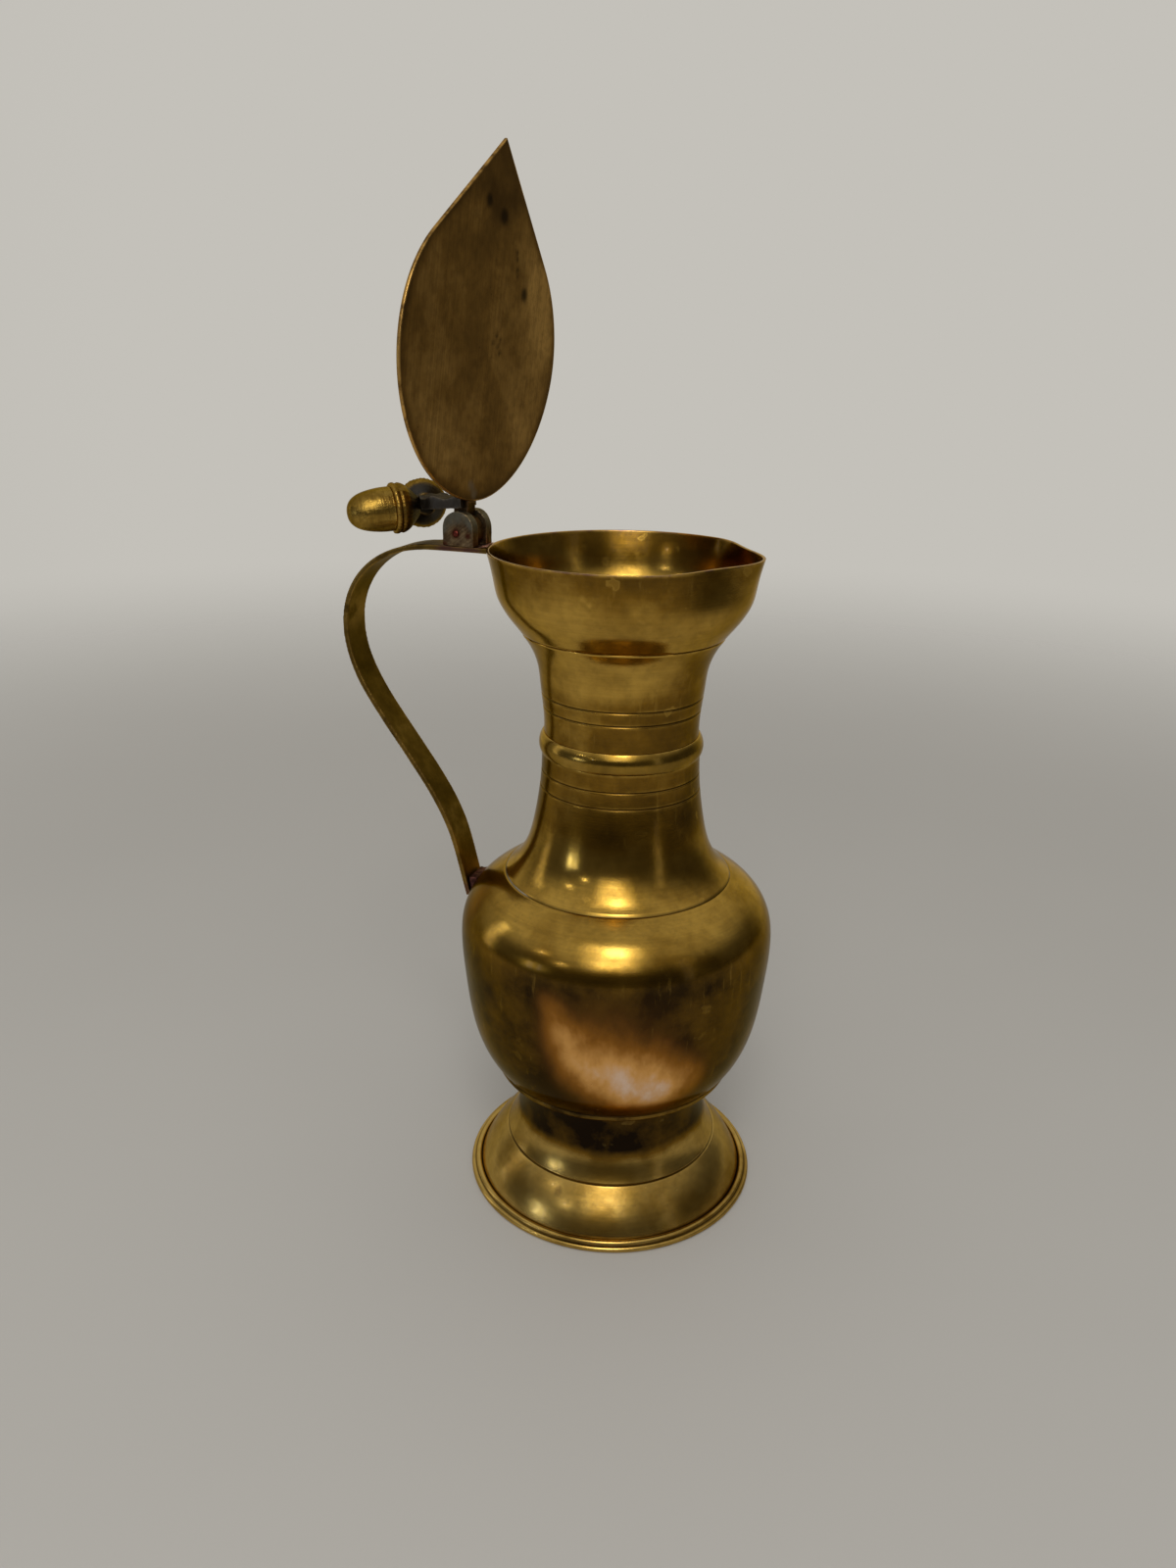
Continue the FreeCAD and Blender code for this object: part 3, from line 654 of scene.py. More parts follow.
class Brush:
    """Lays one finish down as shader nodes, layer on layer."""

    # Noise values at which a patch starts and is full, from wide soft patches to a few small ones
    GRAINY: Place = (0.2, 0.8)
    BROAD: Place = (0.3, 0.7)
    RUBBED: Place = (0.3, 0.6)
    HATCHED: Place = (0.35, 0.7)
    MOTTLED: Place = (0.42, 0.66)
    GATHERED: Place = (0.54, 0.68)
    DRIPPED: Place = (0.58, 0.74)
    # How ragged the edge of a patch is
    EVEN, RAGGED, TORN = 2.0, 5.0, 6.0
    # Dried drops, in drop sizes: spread of the radius and its least, width of the ring, edge of the fill, its
    # strength, how far a drop strays, and the chance at which it starts to show and shows in full
    DROP_RADIUS: Place = (0.16, 0.08)
    DROP_RING: Place = (0.1, 0.01)
    DROP_EDGE: Place = (0.04, -0.08)
    DROP_FILL, DROP_WANDER = 0.6, 0.9
    DROP_CHANCE: Place = (0.66, 0.85)
    # Pits, in pit sizes: where a pit starts and is full, and the pits across one patch of them
    PIT_EDGE: Place = (0.17, 0.07)
    PITS_ACROSS = 0.2
    # Millimetres across a rubbed patch, how the film's rags stretch along the axis and spread the tint, and
    # how dull soot is
    RUB_SIZE = 6.25
    RAG_STRETCH = 0.6
    RAG_SPREAD: Place = (0.78, 1.18)
    SOOT_ROUGHNESS = 0.3

    def __init__(self, finish: Finish) -> None:
        """Start an empty material for a finish."""
        self.finish = finish
        self.made = bpy.data.materials.new(finish.name)
        self.tree = empty_tree(self.made)
        self.bench = self.put("Attribute", out="Vector", attribute_name="bench")
        self.colour: "Socket | tuple" = linear(finish.bright)
        self.rough: "Socket | float" = finish.roughness

    def put(self, kind: str, inputs: Optional[dict] = None, out: "str | int" = 0,
            **settings: object) -> Socket:
        """Add one node to this material."""
        return add_node(self.tree, kind, inputs, out, **settings)

    def cloud(self, scale: Sequence[float], spread: Place, detail: float = 4.0,
              start: Optional[Socket] = None) -> Socket:
        """Soft patches.

        Args:
            scale: patches in a millimetre along each axis.
            spread: noise values where a patch starts and is full.
            detail: how ragged its edge is.
            start: coordinates, in place of the bench's.

        Returns:
            0 between the patches and 1 in them.
        """
        place = self.put("VectorMath", {0: start or self.bench, 1: tuple(scale)}, operation="MULTIPLY")
        value = self.put("TexNoise", {"Vector": place, "Scale": 1.0, "Detail": detail, "Roughness": 0.6})
        return self.put("MapRange", {"Value": value, "From Min": spread[0], "From Max": spread[1]}, **SMOOTH)

    def strokes(self) -> Socket:
        """Fine marks of the tool that shaped the surface, drawn coarser than real so that they show."""
        finish = self.finish
        fine, long = 1 / finish.stroke_pitch, 1 / finish.stroke_length
        rings, lengthwise = (long, long, fine), (fine, fine, long)
        if finish.tool is Tool.LATHE:
            return self.cloud(rings, self.BROAD, self.EVEN)
        if finish.tool is Tool.ROLLS:
            return self.cloud((long, fine, fine), self.BROAD, self.EVEN)
        if finish.tool is Tool.FILE:
            turned = self.put("VectorRotate", {"Vector": self.bench, "Axis": (0, 1, 0),
                                               "Angle": math.radians(finish.stroke_turn_deg)})
            return self.cloud(rings, self.BROAD, self.EVEN, turned)
        return self.put("Math", {0: self.cloud(rings, self.HATCHED, self.EVEN),
                                 1: self.cloud(lengthwise, self.HATCHED, self.EVEN)}, operation="MAXIMUM")

    def spots(self) -> Socket:
        """Dried water drops: soft uneven rings, in a few places only."""
        size = self.finish.spot_size
        wander = self.put("TexNoise", {"Vector": self.bench, "Scale": 2 / size, "Detail": 3.0}, out="Color")
        strayed = self.put("VectorMath", {0: wander, 1: (self.DROP_WANDER * size,) * 3, 2: self.bench},
                           operation="MULTIPLY_ADD")
        distance = self.put("TexVoronoi", {"Vector": strayed, "Scale": 1 / size}, out="Distance")
        chance = self.put("SeparateColor", {0: distance.node.outputs["Color"]})
        radius = self.put("Math", {0: chance, 1: self.DROP_RADIUS[0], 2: self.DROP_RADIUS[1]},
                          operation="MULTIPLY_ADD")
        off = self.put("Math", {0: distance, 1: radius}, operation="SUBTRACT")
        edge = self.put("Math", {0: off}, operation="ABSOLUTE")
        ring = self.put("MapRange", {"Value": edge, "From Min": self.DROP_RING[0],
                                     "From Max": self.DROP_RING[1]}, **SMOOTH)
        fill = self.put("MapRange", {"Value": off, "From Min": self.DROP_EDGE[0],
                                     "From Max": self.DROP_EDGE[1], "To Max": self.DROP_FILL})
        mark = self.put("Math", {0: ring, 1: fill}, operation="MAXIMUM")
        gate = self.put("MapRange", {"Value": chance.node.outputs[1], "From Min": self.DROP_CHANCE[0],
                                     "From Max": self.DROP_CHANCE[1]})
        return self.put("Math", {0: mark, 1: gate}, operation="MULTIPLY")

    def pits(self) -> Socket:
        """Small dark pits and specks, gathered in patches."""
        size = self.finish.pit_size
        distance = self.put("TexVoronoi", {"Vector": self.bench, "Scale": 1 / size}, out="Distance")
        speck = self.put("MapRange", {"Value": distance, "From Min": self.PIT_EDGE[0],
                                      "From Max": self.PIT_EDGE[1]})
        gathered = self.cloud((self.PITS_ACROSS / size,) * 3, self.GATHERED)
        return self.put("Math", {0: speck, 1: gathered}, operation="MULTIPLY")

    def lay(self, colour: str, mask: Socket, share: float = 1.0, rougher: float = 0.0) -> None:
        """Lay one layer over what is there.

        Args:
            colour: the layer's colour.
            mask: where it lies.
            share: how much of it covers.
            rougher: how much duller it makes the metal where it covers.
        """
        amount = self.put("Math", {0: mask, 1: share}, operation="MULTIPLY", use_clamp=True)
        self.colour = self.put("MixRGB", {"Fac": amount, "Color1": self.colour, "Color2": linear(colour)})
        self.rough = self.put("Math", {0: amount, 1: rougher, 2: self.rough}, operation="MULTIPLY_ADD")

    def paint(self) -> bpy.types.Material:
        """Lay every layer of the finish.

        Returns:
            The finished material.
        """
        finish = self.finish
        wear, grime, tint, age = (self.put("Attribute", out="Fac", attribute_name=mask.value)
                                  for mask in Mask)
        wander = self.cloud((1 / finish.cloud_size,) * 3, self.BROAD, self.TORN)
        half = finish.cloud_share / 2
        change = self.put("MapRange", {"Value": wander, "To Min": -half, "To Max": half})
        # This tarnish also carries the painted shade and painted highlight held in the age mask
        tarnish = self.put("Math", {0: age, 1: change}, operation="ADD", use_clamp=True)
        mottle = self.cloud((1 / finish.mottle_size,) * 3, self.MOTTLED, self.RAGGED)
        strokes, pits = self.strokes(), self.pits()
        for colour, end in ((finish.body, "From Max"), (finish.deep, "From Min")):
            self.lay(colour, self.put("MapRange", {"Value": tarnish, end: 0.5}), 1.0, finish.rough_change)
        self.lay(finish.deep, mottle, finish.mottle_share, finish.rough_change)
        self.lay(finish.deep, strokes, finish.stroke_share)
        if finish.drip_share:
            run = (1 / finish.drip_width, 1 / finish.drip_width, 1 / finish.drip_length)
            self.lay(finish.bright, self.cloud(run, self.DRIPPED), finish.drip_share, finish.rough_change)
        if finish.spot_share:
            self.lay(finish.bright, self.spots(), finish.spot_share, finish.rough_change)
        rag = 1 / finish.film_rag
        rags = self.cloud((rag, rag, self.RAG_STRETCH * rag), self.BROAD, self.RAGGED)
        ragged = self.put("MapRange", {"Value": rags, "To Min": self.RAG_SPREAD[0],
                                       "To Max": self.RAG_SPREAD[1]})
        patchy = self.put("Math", {0: tint, 1: ragged}, operation="MULTIPLY")
        for colour, low, high in finish.films:
            film = self.put("MapRange", {"Value": patchy, "From Min": low, "From Max": high}, **SMOOTH)
            self.lay(colour, film)
        rubs = self.cloud((1 / self.RUB_SIZE,) * 3, self.RUBBED)
        rubbed = self.put("Math", {0: wear, 1: rubs}, operation="MULTIPLY")
        self.lay(finish.bright, rubbed, 1.0, -finish.rough_change)
        specks = self.put("Math", {0: pits, 1: finish.pit_share}, operation="MULTIPLY")
        dirt = self.put("Math", {0: grime, 1: specks}, operation="MAXIMUM")
        self.lay(finish.soot, dirt, 1.0, self.SOOT_ROUGHNESS)
        height = self.put("Math", {0: mottle, 1: finish.lump_depth}, operation="MULTIPLY")
        grain = self.cloud((1 / finish.grain_size,) * 3, self.GRAINY, self.EVEN)
        for layer, depth in ((strokes, finish.stroke_depth), (grain, finish.grain_depth),
                             (specks, -finish.pit_depth)):
            height = self.put("Math", {0: layer, 1: depth, 2: height}, operation="MULTIPLY_ADD")
        bump = self.put("Bump", {"Height": height, "Distance": MM, "Strength": 1.0})
        sockets = {"Base Color": self.colour, "Specular Tint": linear(finish.edge), "Metallic": 1.0,
                   "Roughness": self.rough, "Normal": bump}
        if finish.lacquer:
            sockets |= {"Coat Weight": finish.lacquer, "Coat Roughness": finish.lacquer_roughness}
        if finish.anisotropy:
            sockets["Anisotropic"] = finish.anisotropy
            sockets["Tangent"] = self.put("Tangent", direction_type="RADIAL", axis="Z")
        self.put("OutputMaterial", {"Surface": self.put("BsdfPrincipled", sockets)})
        return self.made


# Yellow brass, spun on a lathe and polished, then left to tarnish. The polish mirrors the room softly, the
# rings of the lathe draw the highlights out across them, the tarnish gives olive and brown clouds, and what
# is left of a clear lacquer adds small sharp glints.
TURNED = Finish("spun_yellow_brass_tarnished", "#CCA348", "#87631C", "#281905", Tool.LATHE, 0.14,
                films=(("#6A4622", 0.3, 0.9),), spot_share=0.2, rough_change=0.06, grain_depth=0.005,
                anisotropy=0.3, lacquer=0.1)
# The same brass on the foot, with a darker deep colour for the painted shade on its waist
FOOT_BRASS = replace(TURNED, name="spun_yellow_brass_painted_waist_shade", bright="#D2AE5C", deep="#1E1204", roughness=0.2)
# The same brass, warmed at some time: an oxide film grades from violet brown through orange to a pale rose,
# whose bright core on the front is also a painted highlight.
BELLY_BRASS = replace(TURNED, name="spun_yellow_brass_heat_bloom_and_painted_highlight", drip_share=0.2, spot_share=0.12,
                      film_rag=14.0,
                      films=(("#5A3A14", 0.03, 0.3), ("#A46C26", 0.16, 0.52), ("#F4B868", 0.4, 0.76),
                             ("#FFE2CE", 0.66, 1.0)))
# The same brass, splashed and not dried: pale drops, and white residue in the seam.
NECK_BRASS = replace(TURNED, name="spun_yellow_brass_water_spotted", films=(("#E4DED2", 0.3, 0.6),),
                     spot_share=0.42, drip_share=0.2)
# The same brass, rubbed by hands on its crown.
COLLAR_BRASS = replace(TURNED, name="spun_yellow_brass_rubbed", bright="#D2AC56", body="#9A772A",
                       spot_share=0.3)
# The same brass, thin at the rim, where the cut edge is pink and brown.
CUP_BRASS = replace(TURNED, name="spun_yellow_brass_cut_rim", films=(("#97705A", 0.3, 0.6),), spot_share=0.35,
                    drip_share=0.16)
# Rolled brass strip, bent cold and handled for years: satin brown, with the corners rubbed to bright metal.
STRAP_BRASS = Finish("rolled_brass_strip_handled", "#BC964A", "#735926", "#3A2A12", Tool.ROLLS, 0.3,
                     films=(("#5E3E36", 0.3, 0.9),), cloud_size=18, mottle_share=0.22, stroke_share=0.18,
                     lump_depth=0.015, pit_share=0.4)
# Sheet brass, dulled by damp: a satin olive brown with dark stains and a rubbed edge.
LID_BRASS = Finish("rolled_sheet_brass_stained", "#D0A35A", "#926D35", "#543B1E", Tool.ROLLS, 0.3,
                   edge="#E8DAC0", films=(("#8A7C66", 0.3, 1.0),), soot="#2A2016", cloud_size=24,
                   cloud_share=0.45, mottle_size=3.5, mottle_share=0.3, stroke_length=50, stroke_share=0.28,
                   pit_share=0.55, lump_depth=0.008)
# Brass filed flat by hand after brazing: strokes across a grey and green skin, with red copper in places.
EAR_BRASS = Finish("filed_brass_grey_patina", "#A48A62", "#6C553A", "#382A1E", Tool.FILE, 0.34, film_rag=2.2,
                   films=(("#6A6656", 0.3, 1.2),), soot="#481812", cloud_size=4, mottle_size=1.4,
                   mottle_share=0.4, stroke_pitch=0.5, stroke_length=9, stroke_share=0.5, stroke_depth=0.03,
                   stroke_turn_deg=35, lump_depth=0.03)
KNUCKLE_BRASS = Finish("filed_brass_brown", "#94724C", "#5A432A", "#302317", Tool.FILE, 0.36, cloud_size=6,
                       mottle_size=2, mottle_share=0.3, stroke_pitch=0.45, stroke_length=9, stroke_share=0.45,
                       stroke_depth=0.02, lump_depth=0.03)
# Soft solder run over filed brass: a dull lead grey with lumps.
PLATE_BRASS = Finish("filed_brass_under_solder", "#8E8270", "#4E463C", "#231F1B", Tool.FILE, 0.34,
                     films=(("#4A443C", 0.4, 1.0),), cloud_size=6, mottle_size=2.2, mottle_share=0.4,
                     stroke_share=0.3, lump_depth=0.06)
# Cast brass, scraped along the cup: uneven stripes, and dark grey at the back that is partly solder and
# partly painted shade.
ACORN_CUP_BRASS = Finish("cast_brass_scraped", "#C49C48", "#866526", "#3A2A12", Tool.HATCH, 0.28,
                         films=(("#3E3B37", 0.3, 0.75),), cloud_size=6, mottle_size=2.4, mottle_share=0.3,
                         stroke_pitch=0.7, stroke_length=7, stroke_share=0.45, stroke_depth=0.04)
# Cast brass, filed smooth and rubbed by the thumb: the brightest metal of the pitcher, finely hatched.
ACORN_NUT_BRASS = Finish("cast_brass_thumb_polished", "#CAA650", "#9C7A32", "#503B14", Tool.HATCH, 0.22,
                         cloud_size=9, mottle_size=2, mottle_share=0.25, stroke_pitch=0.5, stroke_length=6,
                         stroke_share=0.42, stroke_depth=0.035, grain_depth=0.006)
# Copper rivet, hammered over: dark red.
PIN_COPPER = Finish("hammered_copper_rivet", "#864034", "#54221C", "#2C120F", Tool.HATCH, 0.36, cloud_size=2,
                    mottle_size=1.2, stroke_pitch=0.4, stroke_length=2)
# Copper-rich brazing filler, as it ran at the rim: pink and lumpy, its colour lightened beyond the filler's
# own as painted light that lifts it out of the ears' shade.
RIM_BRAZE = Finish("run_brazing_filler_painted_light", "#F0BCA4", "#D09A82", "#6E4C40", Tool.HATCH, 0.45,
                   cloud_size=4, mottle_size=1.6, mottle_share=0.4, lump_depth=0.05)
# The same filler at the shoulder, never cleaned: dark purple brown.
SHOULDER_BRAZE = Finish("run_brazing_filler_dull", "#8A5A4E", "#553632", "#2C1C1C", Tool.HATCH, 0.4,
                        cloud_size=3, mottle_size=1.6, mottle_share=0.4, lump_depth=0.05)


@dataclass
class HandPlay:
    """How far a spun wall is from a true round: drawn in a little here and there, never out.

    A wave is its strength, its turns, the height over which it shifts and where it starts. A ripple is its
    strength, its height and its sway. A dent is its turn, its height, its size and its depth.
    """

    depth: float = 0.13
    least: float = 0.02
    waves: tuple[tuple[float, float, float, float], ...] = (
        (1.0, 2, 41.0, 0.4), (0.7, 3, -23.0, 1.9), (0.5, 5, 17.0, 3.1))
    ripple: tuple[float, float, float] = (0.4, 9.0, 2.0)
    wave_reach: float = 2.6
    dent_radius: float = 50.0
    dents: tuple[tuple[float, float, float, float], ...] = (
        (-95.0, 92.0, 9.0, 0.16), (-40.0, 84.0, 7.0, 0.14), (35.0, 100.0, 10.0, 0.2), (150.0, 78.0, 8.0, 0.2),
        (-62.0, 203.0, 6.0, 0.12), (110.0, 196.0, 7.0, 0.12))

    def __call__(self, angle: np.ndarray, height: np.ndarray) -> np.ndarray:
        """How far the wall is drawn in.

        Args:
            angle: turn from the pouring point.
            height: height above the table.

        Returns:
            Distances, all of them inwards.
        """
        wave = sum(strength * np.cos(turns * angle + height / pitch + start)
                   for strength, turns, pitch, start in self.waves)
        strength, pitch, sway = self.ripple
        wave = wave + strength * np.cos(height / pitch + sway * np.sin(angle))
        drawn = self.least + self.depth * (wave / self.wave_reach + 1) / 2
        for turn_deg, level, size, depth in self.dents:
            away = np.remainder(angle - math.radians(turn_deg) + math.pi, FULL_TURN) - math.pi
            along, rise = self.dent_radius * away / size, (height - level) / size
            drawn = drawn + depth * np.exp(-(along ** 2 + rise ** 2))
        return drawn


PLAY = HandPlay()
COLUMNS = 240


@dataclass
class Foot:
    """Hollow turned foot with a double bead, a skirt with one incised line, and a waist."""

    wall: float = 1.7
    seat_width: float = 2.0
    bead_radius: float = 1.15
    bead_step: float = 1.7
    bead_rise: float = 1.35
    skirt_inset: float = 4.1
    skirt_rise: float = 0.45
    skirt_bow: float = 0.7
    waist_radius: float = 36.4
    waist_drop: float = 12.0
    line_flare: float = 5.4
    line_height: float = 18.6
    top_flare: float = 2.6
    top_land: float = 3.4
    # Painted shade on the waist: its rise, the least tarnish and how much it adds
    dark_rise: float = 6.5
    clean_age: float = 0.2
    dark_gain: float = 0.8
    stains: tuple[Patch, ...] = (Patch(-98.0, 14.6, 2.2, 0.6, 4), Patch(-92.0, 12.6, 1.4, 0.5, 4),
                                 Patch(-87.0, 12.8, 1.6, 0.45, 4), Patch(-79.0, 11.0, 1.0, 0.35, 4))

    def outline(self) -> Outline:
        """The foot's outline, from the seat round the outside and back."""
        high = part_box("foot")[1]
        radius, top = high.x / MM, high.z / MM
        bead, skirt = radius - self.bead_radius, radius - self.skirt_inset
        step, bead_top = radius - self.bead_step, 2 * self.bead_radius
        skirt_height = bead_top + self.skirt_rise
        line = (self.waist_radius + self.line_flare, self.line_height)
        bow = ((skirt + line[0]) / 2 + self.skirt_bow, (skirt_height + line[1]) / 2 + self.skirt_bow)
        crown = (self.waist_radius + self.top_flare, top)
        seat = (bead - self.seat_width, 0.0)
        inner_line = (line[0] - self.wall, line[1] - self.wall)
        inner_top = (crown[0] - self.top_land, top)
        made = Outline()
        made.line(seat, (bead, 0.0))
        made.arc((bead, 0.0), (radius, self.bead_radius), (bead, bead_top))
        made.line((bead, bead_top), (step, bead_top))
        made.arc((step, bead_top), ((step + skirt) / 2, bead_top + self.bead_rise), (skirt, skirt_height))
        made.arc((skirt, skirt_height), bow, line)
        made.arc(line, (self.waist_radius, top - self.waist_drop), crown)
        made.line(crown, inner_top)
        made.arc(inner_top, (self.waist_radius - self.wall, top - self.waist_drop), inner_line)
        made.arc(inner_line, (bow[0] - self.wall, bow[1] - self.wall), seat)
        return made.close([line])

    def build(self) -> None:
        """Spin the foot, paint shade on its waist and fit it."""
        sheet = spin(self.outline(), COLUMNS, PLAY)
        # Painted shade: the waist darkens above the incised line, the belly underside's dark reflection
        # painted into the colour, partly tarnish
        start = self.line_height + self.dark_rise
        dark = eased(sheet.height, start, start + self.dark_rise)
        sheet.masks[Mask.AGE] = self.clean_age + self.dark_gain * dark
        sheet.masks[Mask.TINT] = sheet.marked(self.stains)
        fit(sheet.piece("turned_foot", FOOT_BRASS), Body.VESSEL, "foot")


@dataclass
class Belly:
    """Wide belly with a closed floor and a turned band where it sits on the foot."""

    wall: float = 1.6
    floor: float = 2.0
    band_overhang: float = 7.2
    band_height: float = 2.8
    band_round: float = 1.6
    band_step: float = 0.7
    widest_drop: float = 24.2
    seam_radius: float = 42.6
    seam_land: float = 2.6
    lower_shares: tuple[Place, ...] = ((0.07, 0.21), (0.22, 0.525), (0.45, 0.775), (0.72, 0.92))
    upper_shares: tuple[Place, ...] = ((0.29, 0.05), (0.52, 0.19), (0.75, 0.47))
    # Painted shade: heights where it starts and is full, the least tarnish and how much the shade adds
    shade_start_height: float = 125.0
    dark_height: float = 108.0
    clean_age: float = 0.2
    dark_gain: float = 0.75
    # Oxide bloom; on the front its pale core is also a painted highlight
    bloom_and_highlight: tuple[Patch, ...] = (
        Patch(-62.0, 71.0, 14.0, 0.95), Patch(-48.0, 72.0, 12.0, 0.5), Patch(-78.0, 76.0, 14.0, 0.5),
        Patch(-86.0, 85.0, 11.0, 0.42), Patch(-91.0, 95.0, 8.0, 0.38), Patch(-95.0, 104.0, 6.0, 0.3),
        Patch(-70.0, 91.0, 20.0, 0.25), Patch(-150.0, 121.0, 12.0, 0.3), Patch(60.0, 80.0, 14.0, 0.5),
        Patch(74.0, 90.0, 11.0, 0.35), Patch(150.0, 92.0, 15.0, 0.4))

    def outline(self) -> Outline:
        """The belly's outline, from the middle of its underside round the outside and back inside."""
        low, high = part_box("belly")
        base, top, widest = low.z / MM, high.z / MM, high.y / MM
        foot = Foot()
        band = foot.waist_radius + foot.top_flare + self.band_overhang
        start = (band + self.band_step, base + self.band_height + self.band_step)
        seam = (self.seam_radius, top)
        middle = (widest, top - self.widest_drop)
        points = between(start, middle, self.lower_shares) + between(middle, seam, self.upper_shares)[1:]
        made = Outline()
        outside = flowing(points, made.step)
        inside = wall_inside(outside, self.wall)[::-1]
        inner_seam = (self.seam_radius - self.seam_land, top)
        inner_foot = (band - self.wall, base + self.band_height)
        inside[0], inside[-1] = inner_seam, inner_foot
        inside = inside[(inside[:, 1] <= top) & (inside[:, 1] >= inner_foot[1])]
        turn = self.band_round * (1 - math.sqrt(0.5))
        made.line((0.0, base), (band - self.band_round, base))
        made.arc((band - self.band_round, base), (band - turn, base + turn), (band, base + self.band_round))
        made.line((band, base + self.band_round), (band, base + self.band_height), start)
        made.curve(outside).line(seam, inner_seam).curve(inside)
        made.line(inner_foot, (band - self.wall - self.band_round, base + self.floor),
                  (0.0, base + self.floor))
        return made.close([(band + self.band_step / 2, base + self.band_height + self.band_step / 2)])

    def build(self) -> None:
        """Spin the belly, paint shade on its lower half, lay the heat bloom with a painted highlight on its
        front and fit it.
        """
        sheet = spin(self.outline(), COLUMNS, PLAY)
        # Painted shade: the belly darkens below its shoulder, a dark reflection painted into the colour,
        # partly tarnish
        dark = eased(sheet.height, self.shade_start_height, self.dark_height)
        sheet.masks[Mask.AGE] = self.clean_age + self.dark_gain * dark
        sheet.masks[Mask.TINT] = sheet.marked(self.bloom_and_highlight)
        fit(sheet.piece("spun_belly", BELLY_BRASS), Body.VESSEL, "belly")


@dataclass
class Neck:
    """Two flared necks, sleeved together under a half-round collar."""

    wall: float = 1.5
    radius: float = 28.0
    taper: float = 0.7
    seam_land: float = 2.6
    bevel: float = 0.4
    spigot_step: float = 0.6
    spigot_wall: float = 1.0
    spigot_gap: float = 0.2
    sleeve_fit: float = 0.02
    collar_proud: float = 1.1
    collar_step: float = 0.3
    cup_land: float = 2.2
    lower_line_shares: tuple[float, ...] = (0.737, 0.854)
    upper_line_shares: tuple[float, ...] = (0.264, 0.405)
    lower_shares: tuple[Place, ...] = ((0.07, 0.26), (0.155, 0.475), (0.25, 0.63), (0.40, 0.773),
                                       (0.61, 0.90), (0.82, 0.98))
    upper_shares: tuple[Place, ...] = ((0.12, 0.0), (0.285, 0.063), (0.505, 0.175), (0.67, 0.275),
                                       (0.81, 0.48), (0.905, 0.705))
    # Rise of the painted bands, least tarnish, and how much painted shade the lower neck gets
    painted_band_rise: float = 14.0
    clean_age: float = 0.2
    dark_gain: float = 0.45
    seam_dirt: float = 0.8
    # Turn and spread of the painted highlight on the upper neck's front
    front_deg: float = -78.0
    front_spread_deg: float = 40.0
    rubbed: tuple[Patch, ...] = (Patch(-73.0, 217.0, 2.6, 0.9, 4), Patch(-100.0, 208.0, 1.2, 0.6, 4))
    residue: tuple[Patch, ...] = (Patch(-150.0, 131.0, 24.0, 1.0, 4), Patch(13.0, 131.0, 5.0, 0.8))

    def __post_init__(self) -> None:
        """Take the heights and the two seams from the frame."""
        collar_low, collar_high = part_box("collar")
        self.seam_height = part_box("lower_neck")[0].z / MM
        self.seam_radius = Belly().seam_radius
        self.collar_low, self.collar_high = collar_low.z / MM, collar_high.z / MM
        self.line_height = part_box("mouth_cup")[0].z / MM
        self.line_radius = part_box("upper_neck")[1].x / MM + self.bevel
        self.spigot = self.radius - self.spigot_step
        self.bore = self.spigot - self.spigot_wall
        self.collar_middle = (self.collar_low + self.collar_high) / 2

    def on_curve(self, curve: np.ndarray, height: float) -> Place:
        """The place of a rising curve at a height."""
        return (float(np.interp(height, curve[:, 1], curve[:, 0])), height)

    def lower_outline(self) -> Outline:
        """The lower neck's outline, from the seam up the outside and down the inside."""
        made = Outline()
        seam, top = (self.seam_radius, self.seam_height), (self.radius + self.taper, self.collar_low)
        outside = flowing(between(seam, top, self.lower_shares), made.step)
        inner_seam = (self.seam_radius - self.seam_land, self.seam_height)
        bore = (self.bore, self.collar_low)
        inside = wall_inside(outside, self.wall)[::-1]
        inside[0], inside[-1] = bore, inner_seam
        inside = inside[inside[:, 0] >= self.bore - TINY]
        outside = outside[outside[:, 1] > self.seam_height + self.bevel]
        bevel = (self.seam_radius - self.bevel, self.seam_height)
        spigot_top = self.collar_middle - self.spigot_gap / 2
        lines = [self.on_curve(outside, self.seam_height + share * (self.collar_low - self.seam_height))
                 for share in self.lower_line_shares]
        made.line(bevel, tuple(outside[0])).curve(outside)
        made.line(top, (self.spigot, self.collar_low), (self.spigot, spigot_top), (self.bore, spigot_top),
                  bore)
        made.curve(inside).line(inner_seam, bevel)
        return made.close(lines)

    def collar_outline(self) -> Outline:
        """The collar's outline, round its crown and back through its bore."""
        bore = self.spigot + self.sleeve_fit
        bottom = (self.radius + self.taper + self.collar_step, self.collar_low)
        top = (self.radius + self.collar_step, self.collar_high)
        crown = (self.radius + self.taper + self.collar_proud, self.collar_middle)
        made = Outline(step=0.35)
        made.arc(bottom, crown, top)
        made.line(top, (bore, self.collar_high), (bore, self.collar_low), bottom)
        return made.close()

    def upper_outline(self) -> Outline:
        """The upper neck's outline, from the collar up the outside and down the inside."""
        made = Outline()
        bottom, line = (self.radius, self.collar_high), (self.line_radius, self.line_height)
        outside = flowing(between(bottom, line, self.upper_shares), made.step)
        inner_line = (self.line_radius - self.cup_land, self.line_height)
        bore = (self.bore, self.collar_high)
        inside = wall_inside(outside, self.wall)[::-1]
        inside[0], inside[-1] = inner_line, bore
        inside = inside[(inside[:, 1] <= self.line_height) & (inside[:, 0] >= self.bore - TINY)]
        outside = outside[outside[:, 1] < self.line_height - self.bevel]
        bevel = (self.line_radius - self.bevel, self.line_height)
        spigot_bottom = self.collar_middle + self.spigot_gap / 2
        lines = [self.on_curve(outside, self.collar_high + share * (self.line_height - self.collar_high))
                 for share in self.upper_line_shares]
        made.curve(outside).line(tuple(outside[-1]), bevel, inner_line).curve(inside)
        made.line(bore, (self.bore, spigot_bottom), (self.spigot, spigot_bottom),
                  (self.spigot, self.collar_high), bottom)
        return made.close(lines)

